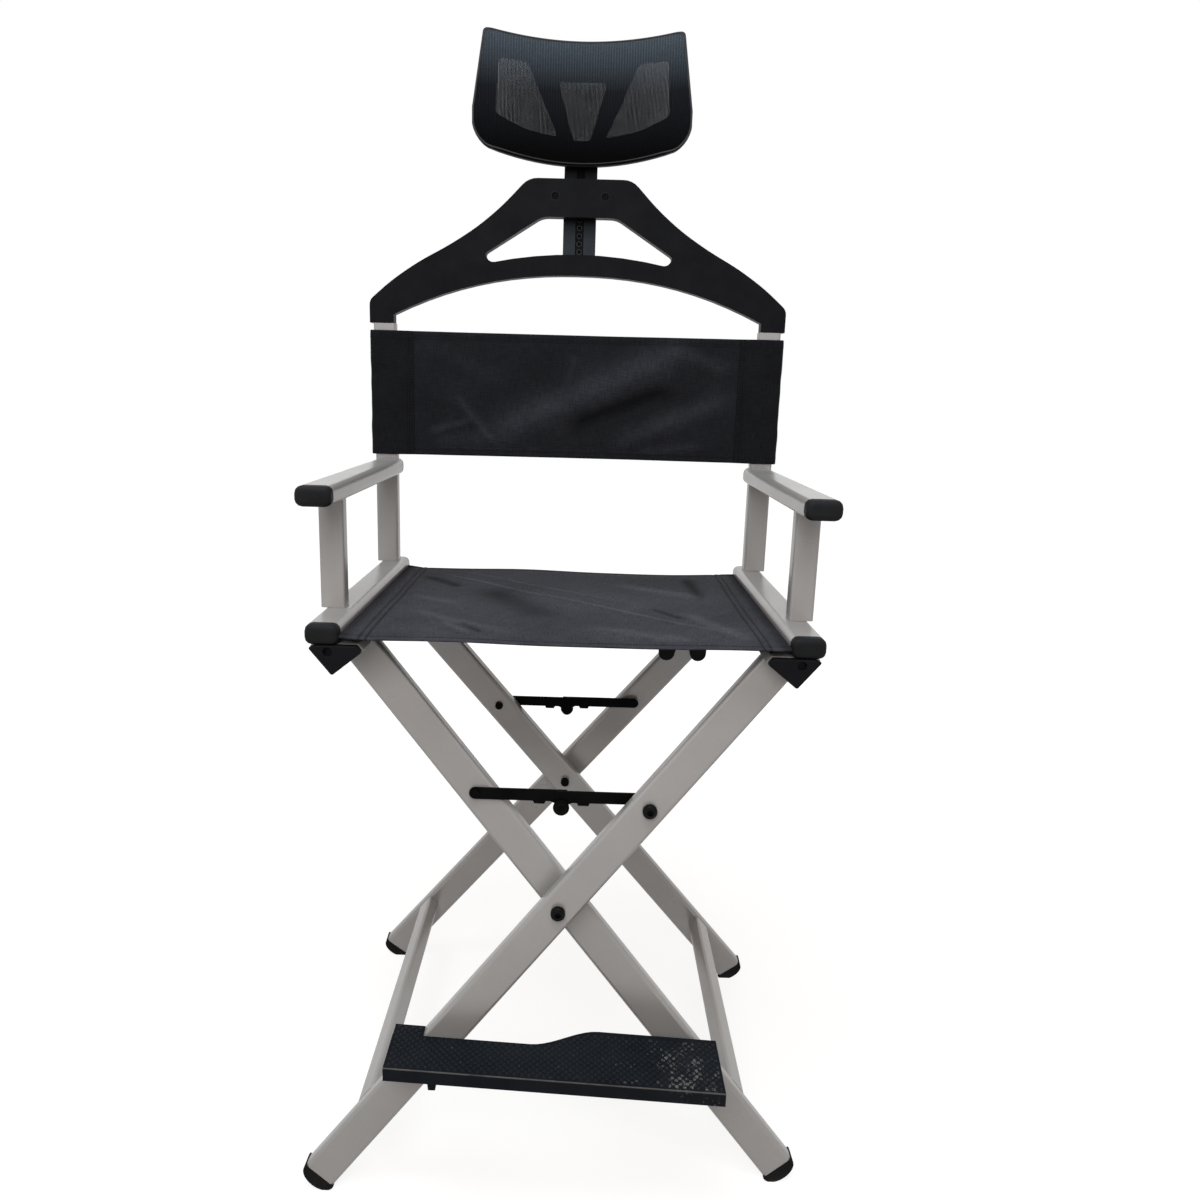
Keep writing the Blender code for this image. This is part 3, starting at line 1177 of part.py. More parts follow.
def add_headrest_post(body, materials):
    """Flat bar with a notched groove in front and the tilt barrel on top."""
    half = BAR_WIDTH / 2
    groove = BAR_GROOVE_WIDTH / 2
    floor = BAR_FRONT + BAR_GROOVE_DEPTH
    outline = [(-half, BAR_FRONT), (-groove, BAR_FRONT), (-groove, floor), (groove, floor),
               (groove, BAR_FRONT), (half, BAR_FRONT), (half, BAR_BACK), (-half, BAR_BACK)]
    post = add_piece("headrest_post", prism_z([outline], BAR_BOTTOM, BAR_TOP), body, materials["plastic"])
    for number in range(BAR_NOTCHES):
        z = BAR_NOTCH_FIRST + number * BAR_NOTCH_PITCH
        notch = rounded_rectangle(BAR_NOTCH_SIZE, BAR_NOTCH_SIZE, BAR_NOTCH_SIZE / 5, (0.0, z))
        shape = prism_y([notch], BAR_FRONT, floor + BAR_NOTCH_DEPTH)
        cut(post, f"headrest_post_notch_{number}", shape, body)
    neck = [(BAR_BACK, BAR_TOP - CUT_MARGIN)]
    neck += arc((TILT_Y, TILT_HEIGHT), TILT_BARREL_RADIUS, -40.0, 220.0, 14)
    neck.append((floor, BAR_TOP - CUT_MARGIN))
    join(post, "headrest_post_barrel", prism_x([neck], -TILT_BARREL_HALF, TILT_BARREL_HALF), body)
    bore = turned(((-half, TILT_PIN_RADIUS + GAP), (half, TILT_PIN_RADIUS + GAP)),
                  along_x(TILT_Y, TILT_HEIGHT), SMALL_ROUND_STEPS)
    cut(post, "headrest_post_bore", bore, body)
    end = TILT_BARREL_HALF + RUNNING_GAP + EAR_THICKNESS + GAP
    tip = end + TILT_PIN_HEAD_LENGTH
    pin = ((-tip, TILT_PIN_HEAD), (-end, TILT_PIN_HEAD), (-end, TILT_PIN_RADIUS), (end, TILT_PIN_RADIUS),
           (end, TILT_PIN_HEAD), (tip, TILT_PIN_HEAD))
    add_piece("headrest_tilt_pin", turned(pin, along_x(TILT_Y, TILT_HEIGHT), SMALL_ROUND_STEPS), body,
              materials["steel"])


def head_limits(x, rim):
    """Lower and upper edge of the headrest at a distance from its middle, inside a rim."""
    half = HEAD_HALF_WIDTH - rim
    share = min(abs(x) / half, 1.0)
    bottom = HEAD_BOTTOM_MIDDLE + rim + (HEAD_BOTTOM_SIDE - HEAD_BOTTOM_MIDDLE) * share * share
    top = HEAD_TOP_MIDDLE - rim + (HEAD_TOP_SIDE - HEAD_TOP_MIDDLE) * share * share
    corner = HEAD_CORNER - rim / 2
    inside = corner - (half - abs(x))
    if inside > 0.0:
        bottom += corner - math.sqrt(max(corner * corner - inside * inside, 0.0))
    top_half = HEAD_TOP_HALF - rim
    past = min(max(abs(x) - top_half + HEAD_TOP_CORNER, 0.0), HEAD_TOP_CORNER)
    top -= HEAD_TOP_CORNER - math.sqrt(HEAD_TOP_CORNER ** 2 - past ** 2)
    slope = max(abs(x) - top_half, 0.0) / (half - top_half)
    widest = HEAD_BOTTOM_SIDE + HEAD_SIDE_RISE
    top -= (HEAD_TOP_SIDE - HEAD_TOP_CORNER - rim - widest) * slope
    return bottom, top


def head_stations(rim):
    """Places across the headrest: even over its flat part, closer round its corners."""
    half = HEAD_HALF_WIDTH - rim
    top_half = HEAD_TOP_HALF - rim
    start = top_half - HEAD_TOP_CORNER
    right = [start * step / HEAD_STATIONS for step in range(1, HEAD_STATIONS + 1)]
    right += [start + HEAD_TOP_CORNER * math.sin(math.radians(turn)) for turn in (25.0, 45.0, 65.0, 90.0)]
    side = half * 0.999 - top_half
    right += [top_half + side * math.sin(math.radians(turn)) for turn in (20.0, 40.0, 58.0, 74.0, 90.0)]
    return [-x for x in reversed(right)] + [0.0] + right


def head_front(x):
    """Front face of the headrest frame at a distance from its middle."""
    return HEAD_Y - HEAD_CURVE * (x / HEAD_HALF_WIDTH) ** 2


def head_slab(rim, near, far):
    """A curved slab of the headrest's outline, from near to far behind the frame's front."""
    rings = []
    for x in head_stations(rim):
        bottom, top = head_limits(x, rim)
        front = head_front(x)
        rings.append([Vector((x, front + near, bottom)), Vector((x, front + far, bottom)),
                      Vector((x, front + far, top)), Vector((x, front + near, top))])
    return loft(rings)


def add_headrest(body, materials):
    """Curved frame with three windows and two tilt ears, and the mesh stretched over it."""
    frame = add_piece("headrest_frame", head_slab(0.0, 0.0, HEAD_THICKNESS), body, materials["plastic"])
    near = HEAD_Y - HEAD_CURVE - CUT_MARGIN
    far = HEAD_Y + HEAD_THICKNESS + CUT_MARGIN
    left = [(-x, TILT_HEIGHT + rise) for x, rise in SIDE_WINDOW]
    left = rounded_polygon(left, [HEAD_WINDOW_ROUND] * len(left))
    middle = [(x, TILT_HEIGHT + rise) for x, rise in MIDDLE_WINDOW]
    middle = rounded_polygon(middle, [HEAD_WINDOW_ROUND] * len(middle))
    windows = (("right", mirror_outline(left)), ("left", left), ("middle", middle))
    for word, outline in windows:
        cut(frame, f"headrest_{word}_window", prism_y([outline], near, far), body)
    root = HEAD_Y + HEAD_THICKNESS / 2
    ear_low = TILT_HEIGHT - EAR_RADIUS
    ear_high = TILT_HEIGHT + EAR_RADIUS
    outline = [(root, ear_low)] + arc((TILT_Y, TILT_HEIGHT), EAR_RADIUS, -90.0, 90.0, 10)
    outline.append((root, ear_high))
    for side, word in ((1, "right"), (-1, "left")):
        inner = side * (TILT_BARREL_HALF + RUNNING_GAP)
        join(frame, f"headrest_{word}_ear", prism_x([outline], inner, inner + side * EAR_THICKNESS), body)
    reach = TILT_BARREL_HALF + EAR_THICKNESS + CUT_MARGIN
    bore = turned(((-reach, TILT_PIN_RADIUS + GAP), (reach, TILT_PIN_RADIUS + GAP)),
                  along_x(TILT_Y, TILT_HEIGHT), SMALL_ROUND_STEPS)
    cut(frame, "headrest_ear_bore", bore, body)
    mesh = head_slab(MESH_RIM, -GAP - MESH_THICKNESS, -GAP)
    add_piece("headrest_mesh", mesh, body, materials["mesh"])


def build():
    """Make every piece of the chair."""
    clear_scene()
    materials = make_materials()
    crossing = (0.0, DEPTH_CENTRE, X_PIVOT_HEIGHT)
    pin_x, pin_z = footrest_pin()

    right_side = Body("right_side", (0.0, 0.0, 0.0))
    outer_legs = Body("outer_legs", (HINGE_X, DEPTH_CENTRE, HINGE_Z), right_side)
    inner_legs = Body("inner_legs", crossing, outer_legs)
    left_side = Body("left_side", (-HINGE_X, DEPTH_CENTRE, HINGE_Z), inner_legs)
    footrest = Body("footrest", (pin_x, 0.0, pin_z), inner_legs)
    hanger = Body("hanger", (0.0, REAR_POST_Y, BACK_POST_TOP), right_side)
    headrest_post = Body("headrest_height", (0.0, TILT_Y, CLAMP_TOP), hanger)
    headrest = Body("headrest_tilt", (0.0, TILT_Y, TILT_HEIGHT), headrest_post)

    for name, side, body in (("right", 1, right_side), ("left", -1, left_side)):
        add_seat_rail(name, side, body, materials)
        add_posts(name, side, body, materials)
        add_armrest(name, side, body, materials)
    add_seat_sling(right_side, materials)
    add_back_sling(right_side, materials)

    add_hinge_tube("right", 1, outer_legs, materials)
    add_hinge_tube("left", -1, inner_legs, materials)
    crossing_bore = (0.0, X_PIVOT_HEIGHT, BOLT_RADIUS + GAP)
    frames = (("outer", 1, OUTER_LEG_Y, outer_legs), ("inner", -1, INNER_LEG_Y, inner_legs))
    for name, top_side, distance, body in frames:
        brace_bore = (top_side * BRACE_X, BRACE_Z, BRACE_PIN_RADIUS + GAP)
        for word, end in (("front", -1), ("rear", 1)):
            bores = [crossing_bore, brace_bore]
            if name == "inner" and word == "front":
                bores.append((pin_x, pin_z, BRACE_PIN_RADIUS + GAP))
            add_leg(f"{name}_{word}", top_side, end, distance, body, materials, bores)
            add_foot(f"{name}_{word}", top_side, end, distance, body, materials)
        add_stretcher(name, top_side, distance, body, materials)

    for name, end in (("front", -1), ("rear", 1)):
        add_x_bolt(name + "_crossing_bolt", end, outer_legs, materials)
        left_link = Body(name + "_left_link", (-BRACE_X, DEPTH_CENTRE, BRACE_Z), inner_legs)
        right_link = Body(name + "_right_link", (BRACE_X, DEPTH_CENTRE, BRACE_Z), outer_legs)
        add_brace(name, end, outer_legs, inner_legs, left_link, right_link, materials)
    add_leg_clip(outer_legs, materials)
    add_footrest(footrest, inner_legs, materials)
    add_hanger(hanger, materials)
    add_headrest_post(headrest_post, materials)
    add_headrest(headrest, materials)


build()
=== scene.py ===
"""Looks of the tall folding chair: cloth, net, studs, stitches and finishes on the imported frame.

Metres, +Z up, the chair faces -Y. Every new piece is worked out as whole arrays in the frame of the CAD.
"""
import json
import math

import bmesh
import bpy
import numpy as np
from mathutils import Matrix, Vector

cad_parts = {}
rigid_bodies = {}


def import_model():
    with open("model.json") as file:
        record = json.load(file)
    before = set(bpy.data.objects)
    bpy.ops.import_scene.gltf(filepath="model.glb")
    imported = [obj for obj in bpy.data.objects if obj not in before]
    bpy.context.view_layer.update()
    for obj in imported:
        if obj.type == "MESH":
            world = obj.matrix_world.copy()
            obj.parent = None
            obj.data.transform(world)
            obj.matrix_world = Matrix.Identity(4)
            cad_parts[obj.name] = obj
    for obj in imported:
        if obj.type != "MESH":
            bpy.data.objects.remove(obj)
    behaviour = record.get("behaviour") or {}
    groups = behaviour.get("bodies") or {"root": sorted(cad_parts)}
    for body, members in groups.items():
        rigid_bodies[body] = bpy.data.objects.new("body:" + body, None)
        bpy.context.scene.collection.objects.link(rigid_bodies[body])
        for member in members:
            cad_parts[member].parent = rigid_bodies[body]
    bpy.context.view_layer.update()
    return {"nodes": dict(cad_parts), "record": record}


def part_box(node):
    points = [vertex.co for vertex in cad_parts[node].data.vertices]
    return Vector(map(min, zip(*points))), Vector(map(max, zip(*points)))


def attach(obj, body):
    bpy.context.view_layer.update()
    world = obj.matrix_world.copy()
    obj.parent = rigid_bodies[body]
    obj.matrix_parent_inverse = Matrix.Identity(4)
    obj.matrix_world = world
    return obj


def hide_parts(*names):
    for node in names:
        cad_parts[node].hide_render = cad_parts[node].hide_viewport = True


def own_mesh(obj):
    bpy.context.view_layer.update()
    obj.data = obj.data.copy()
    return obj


for thing in list(bpy.data.objects):
    bpy.data.objects.remove(thing)
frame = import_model()
NODES = frame["nodes"]
BODY_OF = {node: body for body, nodes in frame["record"]["behaviour"]["bodies"].items() for node in nodes}
SIDES = ((1, "right"), (-1, "left"))
ENDS = ("front", "rear")

# Camera of the photograph
IMAGE_SIZE = 1200
FOCAL_PIXELS = 860.636
PRINCIPAL = (573.413, 558.478)
CAMERA_PLACE = (0.015879, -1.113765, 0.988720)
CAMERA_DOWN = math.radians(11.226)
CAMERA_TURN = math.radians(-0.529)
CAMERA_ROLL = math.radians(1.522)

# Cloth and sewing
CLOTH_HALF = 0.0007          # half thickness of one layer
YARN_PITCH = 0.0011
HEM_DEPTH = 0.011
HEM_STITCH = 0.009           # cut edge to the hem's stitches
HEM_ROWS = (0.003, 0.006, 0.0085, 0.0095, 0.0105, 0.0115, 0.013)
EVEN_ROWS = 0.016            # cut edge to the first even row
STITCH_PITCH = 0.0040
STITCH_LENGTH = 0.0030
STITCH_RADIUS = 0.0004
STITCH_LIFT = 0.0001

# Seat cloth
SEAT_HALF = 0.2586           # middle of the chair to the welt
SLOT_HEIGHT = 0.7065
SEAT_SAG = 0.001
SEAT_FRONT = -0.185
SEAT_REAR = 0.211
SEAT_PANEL = 0.2220          # half width of the part between the side hems
RAIL_FACE = 0.2555
SLOT_FRONT = -0.1722
WELT_X = 0.262
WELT_RADIUS = 0.0033
SEAT_SEAMS = (0.2245, 0.2325)

# Back cloth
BACK_LOW = 0.884
BACK_HIGH = 1.064
BACK_FRONT = 0.181           # front of the cloth beside the posts
BACK_BOW = 0.010
BACK_EDGE = 0.2624
BACK_PANEL = 0.2385
BACK_SEAMS = (0.2402, 0.2470)
POST = (0.281, 0.189)        # middle of the right rear post
POST_HALF = (0.016, 0.010)
SLEEVE_POINTS = 90

# Headrest
HEAD_FRONT = 0.180
HEAD_CURVE = 0.030
HEAD_HALF = 0.150
HEAD_TOP_HALF = 0.1365
HEAD_TOP_CORNER = 0.008
HEAD_SIDE_RISE = 0.042       # widest place above the lower corners
HEAD_TOP = (1.4535, 1.4635)
HEAD_BOTTOM = (1.2935, 1.3165)
HEAD_CORNER = 0.026
NET_PITCH = 0.0018
NET_SLIT = 0.000085
NET_LOOP = 0.0019
NET_RIM = 0.0015
NET_STAND = 0.0004           # gap between the net's edge and the frame
NET_SWELL = 0.006            # how much further its middle stands off
NET_PAINTED_SHADE_HEIGHT = 1.300             # height below which the net's painted shade is darkest
# how far up the net's painted highlight fades in
NET_PAINTED_LIGHT_RISE = 0.16
THREAD_RADIUS = 0.0002
BEAD_RIM = 0.0012
BEAD_RADIUS = 0.0013
BEAD_POINTS = 360

# Headrest post
NOTCH_FLOOR = 0.2013
NOTCH_LOW = 1.182
NOTCH_HIGH = 1.232
NOTCH_PITCH = 0.011

# Footrest
PLATE_TOP = 0.2026
PLATE_TILT = math.tan(math.radians(2.8))
PLATE_LEFT = -0.197
PLATE_RIGHT = 0.201
PLATE_FRONT = -0.2565
PLATE_REAR = (-0.2023, -0.1733)
PLATE_STEP = (-0.030, 0.055)
PLATE_HOOK = (-0.163, -0.188)
EDGE_HIGHLIGHT_SHARPNESS = 1100.0       # how quickly the painted highlight along the front edge fades
STUD_PITCH = 0.0086
STUD_RADIUS = 0.0026
STUD_HEIGHT = 0.0008

# Smooth shading and studio
SHARP_ANGLE = math.radians(50)
FLOOR_LEVEL = -0.0004
FLOOR_RINGS = (0.02, 0.6, 1.2, 2.0, 3.5, 6.0, 9.0)
WARM_LIGHT = (1.0, 0.97, 0.94)


# Node materials

def add_node(tree, kind, inputs=None, **settings):
    """A shader node with its settings, and its inputs as links, numbers or colours."""
    made = tree.nodes.new(kind)
    for key, value in settings.items():
        setattr(made, key, value)
    for key, value in (inputs or {}).items():
        socket = made.inputs[key]
        if isinstance(value, bpy.types.NodeSocket):
            tree.links.new(value, socket)
        else:
            socket.default_value = (*value, 1.0) if socket.type == "RGBA" else value
    return made


def new_finish(name, roughness, specular, metallic=0.0, sheen=0.0, sheen_roughness=0.5):
    """An empty material with its shader's uniform numbers set on the shader itself."""
    material = bpy.data.materials.new(name)
    material.use_nodes = True
    shader = material.node_tree.nodes["Principled BSDF"]
    numbers = {"Roughness": roughness, "Specular IOR Level": specular, "Metallic": metallic,
               "Sheen Weight": sheen, "Sheen Roughness": sheen_roughness}
    for key, value in numbers.items():
        shader.inputs[key].default_value = value
    return material, material.node_tree


def dressed(material, colour, normal, rough=None):
    """The material, with its colour, bump and roughness linked to its shader."""
    tree = material.node_tree
    shader = tree.nodes["Principled BSDF"]
    for key, socket in (("Base Color", colour), ("Normal", normal), ("Roughness", rough)):
        if socket is not None:
            tree.links.new(socket, shader.inputs[key])
    return material


def object_place(tree):
    return add_node(tree, "ShaderNodeTexCoord").outputs["Object"]


def cloth_place(tree, scale=(1.0, 1.0, 1.0)):
    """The cloth's own flat coordinates in metres."""
    place = add_node(tree, "ShaderNodeUVMap", uv_map="flat").outputs[0]
    return add_node(tree, "ShaderNodeMapping", {"Vector": place, "Scale": scale}).outputs[0]


def axes(tree, place=None):
    """Coordinates one by one, of the object or of another place."""
    return add_node(tree, "ShaderNodeSeparateXYZ", {0: place or object_place(tree)}).outputs


def noise(tree, scale, detail=3.0, rough=0.55, place=None):
    """Noise at the object's coordinates or at another place."""
    inputs = {"Vector": place or object_place(tree), "Scale": scale, "Detail": detail, "Roughness": rough}
    return add_node(tree, "ShaderNodeTexNoise", inputs).outputs[0]


def ramp(tree, value, *stops):
    """A colour ramp from (place, colour) stops."""
    made = add_node(tree, "ShaderNodeValToRGB", {"Fac": value})
    band = made.color_ramp.elements
    while len(band) < len(stops):
        band.new(0.5)
    for element, (place, colour) in zip(band, stops):
        element.position = place
        element.color = (*colour, 1.0) if hasattr(colour, "__len__") else (colour, colour, colour, 1.0)
    return made.outputs[0]


def maths(tree, operation, first, second=0.0, third=0.0):
    return add_node(tree, "ShaderNodeMath", {0: first, 1: second, 2: third}, operation=operation).outputs[0]


def mixed(tree, share, first, second, kind="MIX"):
    """Colour between two colours, or one multiplied by the other."""
    inputs = {0: share, 6: first, 7: second}
    return add_node(tree, "ShaderNodeMix", inputs, data_type="RGBA", blend_type=kind).outputs[2]


def bump(tree, height, distance, strength, normal=None):
    inputs = {"Height": height, "Distance": distance, "Strength": strength}
    if normal is not None:
        inputs["Normal"] = normal
    return add_node(tree, "ShaderNodeBump", inputs).outputs[0]


def silver_finish():
    """Satin silver coat: fine flake, slow cloudiness and soft dull patches from handling."""
    material, tree = new_finish("satin_silver", 0.30, 0.6, metallic=0.20)
    flake = noise(tree, 2600.0, 1.0)
    cloud = noise(tree, 9.0, 4.0)
    marks = noise(tree, 14.0, 3.0, 0.5)
    colour = ramp(tree, cloud, (0.25, (0.330, 0.323, 0.320)), (0.75, (0.378, 0.370, 0.366)))
    grain = ramp(tree, flake, (0.3, 0.88), (0.7, 1.0))
    colour = mixed(tree, 1.0, colour, grain, "MULTIPLY")
    worn = ramp(tree, marks, (0.35, 0.0), (0.85, 0.16))
    colour = mixed(tree, worn, colour, (0.25, 0.25, 0.26))
    rough = ramp(tree, marks, (0.25, 0.27), (0.8, 0.32))
    return dressed(material, colour, bump(tree, flake, 0.00004, 0.5), rough)


def plastic_finish(name, dark, light, roughness, grain_size):
    """Moulded black plastic: fine spark grain, slow gloss changes and a little dust."""
    material, tree = new_finish(name, roughness, 0.05)
    grain = noise(tree, grain_size, 2.0)
    cloud = noise(tree, 26.0, 5.0, 0.65)
    dust = noise(tree, 420.0, 3.0, 0.7)
    colour = ramp(tree, cloud, (0.3, dark), (0.72, light))
    specks = ramp(tree, dust, (0.70, 0.0), (0.78, 0.10))
    colour = mixed(tree, specks, colour, (0.11, 0.11, 0.115))
    rough = ramp(tree, cloud, (0.3, roughness - 0.05), (0.75, roughness + 0.10))
    return dressed(material, colour, bump(tree, grain, 0.00012, 0.45), rough)


def post_finish():
    """Black post: the moulding's finish, with painted shade in its middle channel and above the arch, so it
    is paler below the arch.
    """
    material = plastic_finish("black_post", (0.024, 0.029, 0.036), (0.032, 0.038, 0.046), 0.42, 1500.0)
    tree = material.node_tree
    base = tree.nodes["Principled BSDF"].inputs["Base Color"]
    x, _, z = axes(tree)
    # Painted shade: darker in the middle channel, and darker above the arch than below it.
    aside = maths(tree, "MULTIPLY", maths(tree, "ABSOLUTE", x), 100.0)
    channel_painted_shade = ramp(tree, aside, (0.56, 0.15), (0.62, 1.0))
    painted_light = ramp(tree, maths(tree, "MULTIPLY_ADD", z, 10.0, -11.5), (0.55, 1.0), (0.75, 0.3))
    channel_painted_shade = mixed(tree, 1.0, channel_painted_shade, painted_light, "MULTIPLY")
    tree.links.new(mixed(tree, 1.0, base.links[0].from_socket, channel_painted_shade, "MULTIPLY"), base)
    return material


def rubber_finish():
    """Black rubber with floor dust on its lower faces."""
    material, tree = new_finish("foot_rubber", 0.72, 0.05)
    cloud = noise(tree, 70.0, 5.0, 0.7)
    low = maths(tree, "SUBTRACT", 1.0, maths(tree, "MULTIPLY", axes(tree)[2], 60.0))
    dust = ramp(tree, cloud, (0.42, 0.0), (0.72, 0.5))
    dusty = maths(tree, "MULTIPLY", dust, maths(tree, "MAXIMUM", low, 0.0))
    colour = mixed(tree, dusty, (0.012, 0.012, 0.0125), (0.085, 0.082, 0.078))
    return dressed(material, colour, bump(tree, cloud, 0.0004, 0.3))


def steel_finish(name, specular):
    """Blackened steel with rubbed spots."""
    material, tree = new_finish(name, 0.42, specular)
    rub = noise(tree, 240.0, 4.0, 0.7)
    cloud = noise(tree, 40.0)
    colour = ramp(tree, cloud, (0.3, (0.0024, 0.0024, 0.0026)), (0.7, (0.0046, 0.0044, 0.0044)))
    spots = ramp(tree, rub, (0.70, 0.0), (0.80, 0.18))
    colour = mixed(tree, spots, colour, (0.075, 0.073, 0.070))
    rough = ramp(tree, rub, (0.3, 0.36), (0.75, 0.52))
    return dressed(material, colour, bump(tree, cloud, 0.0001, 0.3), rough)


def cloth_finish(name, dark, light, specular):
    """Plain woven oxford cloth: paired yarns both ways, thick and thin places, a soft sheen, and the painted
    highlight and painted shade that each piece carries.
    """
    material, tree = new_finish(name, 0.48, specular, sheen=0.02, sheen_roughness=0.4)
    flat = cloth_place(tree)
    yarns = [maths(tree, "SINE", maths(tree, "MULTIPLY", axis, 2 * math.pi / YARN_PITCH))
             for axis in axes(tree, flat)[:2]]
    weave = maths(tree, "MULTIPLY", *yarns)
    across = noise(tree, 1.0, 2.0, place=cloth_place(tree, (60.0, 900.0, 1.0)))
    along = noise(tree, 1.0, 2.0, place=cloth_place(tree, (900.0, 60.0, 1.0)))
    slub = maths(tree, "ADD", across, along)
    cloud = noise(tree, 17.0, 5.0, 0.6, flat)
    colour = ramp(tree, cloud, (0.28, dark), (0.74, light))
    streak = ramp(tree, maths(tree, "MULTIPLY", slub, 0.5), (0.36, 0.62), (0.64, 1.36))
    colour = mixed(tree, 1.0, colour, streak, "MULTIPLY")
    tone_and_painted_light = ramp(tree, maths(tree, "MULTIPLY_ADD", weave, 0.5, 0.5), (0.2, 0.80), (0.8, 1.0))
    colour = mixed(tree, 1.0, colour, tone_and_painted_light, "MULTIPLY")
    # Painted light: each piece's tone attribute brightens its painted highlights and darkens its painted
    # shade.
    shade = add_node(tree, "ShaderNodeAttribute", attribute_name="tone_and_painted_light").outputs["Fac"]
    brightened = {0: colour, "Scale": maths(tree, "ADD", shade, 1.0)}
    colour = add_node(tree, "ShaderNodeVectorMath", brightened, operation="SCALE").outputs[0]
    rough = ramp(tree, cloud, (0.3, 0.42), (0.7, 0.56))
    normal = bump(tree, slub, 0.0003, 0.35, bump(tree, weave, 0.00012, 0.5))
    return dressed(material, colour, normal, rough)


def thread_finish():
    """Twisted black sewing thread."""
    material, tree = new_finish("sewing_thread", 0.55, 0.12)
    twist = noise(tree, 2200.0, 2.0)
    colour = ramp(tree, twist, (0.3, 0.008), (0.7, 0.020))
    return dressed(material, colour, bump(tree, twist, 0.0001, 0.4))


def net_finish():
    """Knitted headrest net: small loops up each rib, with painted shade low down and a painted highlight
    towards its top.
    """
    material, tree = new_finish("headrest_net", 0.5, 0.025, sheen=0.01)
    x, _, z = axes(tree)
    loops = maths(tree, "SINE", maths(tree, "MULTIPLY", z, 2 * math.pi / NET_LOOP))
    # Painted light: the net is darkest low down and paler towards its top, as if lit from above.
    painted_light_rise = maths(tree, "MULTIPLY_ADD", z, 1.0 / NET_PAINTED_LIGHT_RISE, -NET_PAINTED_SHADE_HEIGHT / NET_PAINTED_LIGHT_RISE)
    colour = ramp(tree, painted_light_rise, (0.05, (0.0015, 0.0015, 0.0018)), (0.55, (0.0095, 0.0110, 0.0140)),
                  (0.98, (0.064, 0.080, 0.100)))
    fuzz = ramp(tree, noise(tree, 700.0), (0.3, 0.7), (0.7, 1.1))
    colour = mixed(tree, 1.0, colour, fuzz, "MULTIPLY")
    stripe = maths(tree, "COSINE", maths(tree, "MULTIPLY", x, math.pi / NET_PITCH))
    stripe = ramp(tree, maths(tree, "MULTIPLY_ADD", stripe, 0.5, 0.5), (0.1, 0.78), (0.9, 1.18))
    colour = mixed(tree, 1.0, colour, stripe, "MULTIPLY")
    return dressed(material, colour, bump(tree, loops, 0.0002, 0.4))


def plate_finish(name, wear_low, wear_high, specular, right_wear):
    """Black footrest moulding with a patchy painted highlight along its front top edge, scuffed in specks,
    most at its right end.
    """
    material, tree = new_finish(name, 0.42, specular)
    x, y, z = axes(tree)
    grain = noise(tree, 1500.0, 2.0)
    scuff = noise(tree, 210.0, 5.0, 0.75)
    patch = noise(tree, 28.0, 2.0)
    cloud = noise(tree, 30.0, 4.0)
    right = maths(tree, "MAXIMUM", maths(tree, "MULTIPLY_ADD", x, 7.0, -0.25), 0.06)
    right = maths(tree, "SMOOTH_MIN", right, 1.0, 0.2)
    amount = maths(tree, "MULTIPLY", right, ramp(tree, patch, (0.38, 0.15), (0.62, 1.0)))
    level = maths(tree, "ADD", scuff, maths(tree, "MULTIPLY", amount, right_wear))
    worn = ramp(tree, level, (wear_low, 0.0), (wear_high, 0.85))
    colour = ramp(tree, cloud, (0.3, (0.0050, 0.0066, 0.0092)), (0.7, (0.0092, 0.0116, 0.0152)))
    colour = mixed(tree, worn, colour, (0.15, 0.15, 0.15))
    # Painted highlight: a pale line in patches along the front top edge.
    untilted = maths(tree, "MULTIPLY_ADD", x, PLATE_TILT, z)
    near_top = maths(tree, "MULTIPLY_ADD", untilted, EDGE_HIGHLIGHT_SHARPNESS, -EDGE_HIGHLIGHT_SHARPNESS * (PLATE_TOP - 0.0016))
    near_front = maths(tree, "MULTIPLY_ADD", y, -EDGE_HIGHLIGHT_SHARPNESS, EDGE_HIGHLIGHT_SHARPNESS * (PLATE_FRONT + 0.0014))
    painted_light = maths(tree, "MINIMUM", near_top, near_front)
    painted_light = maths(tree, "MULTIPLY", painted_light, ramp(tree, patch, (0.30, 0.35), (0.60, 1.0)))
    colour = mixed(tree, ramp(tree, painted_light, (0.0, 0.0), (0.9, 0.55)), colour, (0.20, 0.20, 0.20))
    rough = ramp(tree, cloud, (0.3, 0.40), (0.7, 0.52))
    return dressed(material, colour, bump(tree, grain, 0.00015, 0.4), rough)


SILVER = silver_finish()
MOULDING = plastic_finish("black_moulding", (0.0052, 0.0053, 0.0066), (0.0088, 0.0090, 0.0110), 0.40, 1700.0)
POST_BLACK = post_finish()
# Pale grey rim finish: a painted highlight on the headrest's beaded rim and round the post's notches.
RIM = plastic_finish("grey_rim_painted_highlight", (0.040, 0.041, 0.043), (0.055, 0.056, 0.058), 0.42, 1700.0)
CAP = plastic_finish("black_cap", (0.011, 0.0115, 0.0125), (0.016, 0.017, 0.0185), 0.46, 1300.0)
RUBBER = rubber_finish()
STEEL = steel_finish("black_steel_coat", 0.025)
BOLT = steel_finish("black_bolt", 0.09)
# One oxford cloth in two copies: the back's darker copy paints shade on the upright cloth, and the seat's
# paler copy paints the light from above.
CLOTH = cloth_finish("back_oxford_cloth_painted_shade", (0.0108, 0.0114, 0.0145), (0.0160, 0.0168, 0.0204), 0.04)
SEAT_CLOTH_PAINTED_LIGHT = cloth_finish("seat_oxford_cloth_painted_light", (0.0330, 0.0345, 0.0430), (0.0530, 0.0547, 0.0655), 0.004)
THREAD = thread_finish()
NET = net_finish()
PLATE = plate_finish("footrest_moulding", 0.70, 0.80, 0.04, 0.16)
STUD = plate_finish("footrest_stud", 0.64, 0.76, 0.09, 0.26)


# Meshes from arrays

def xyz(x, y, z):
    """Points from their coordinates, spread to one common size."""
    return np.stack(np.broadcast_arrays(x, y, z), -1)


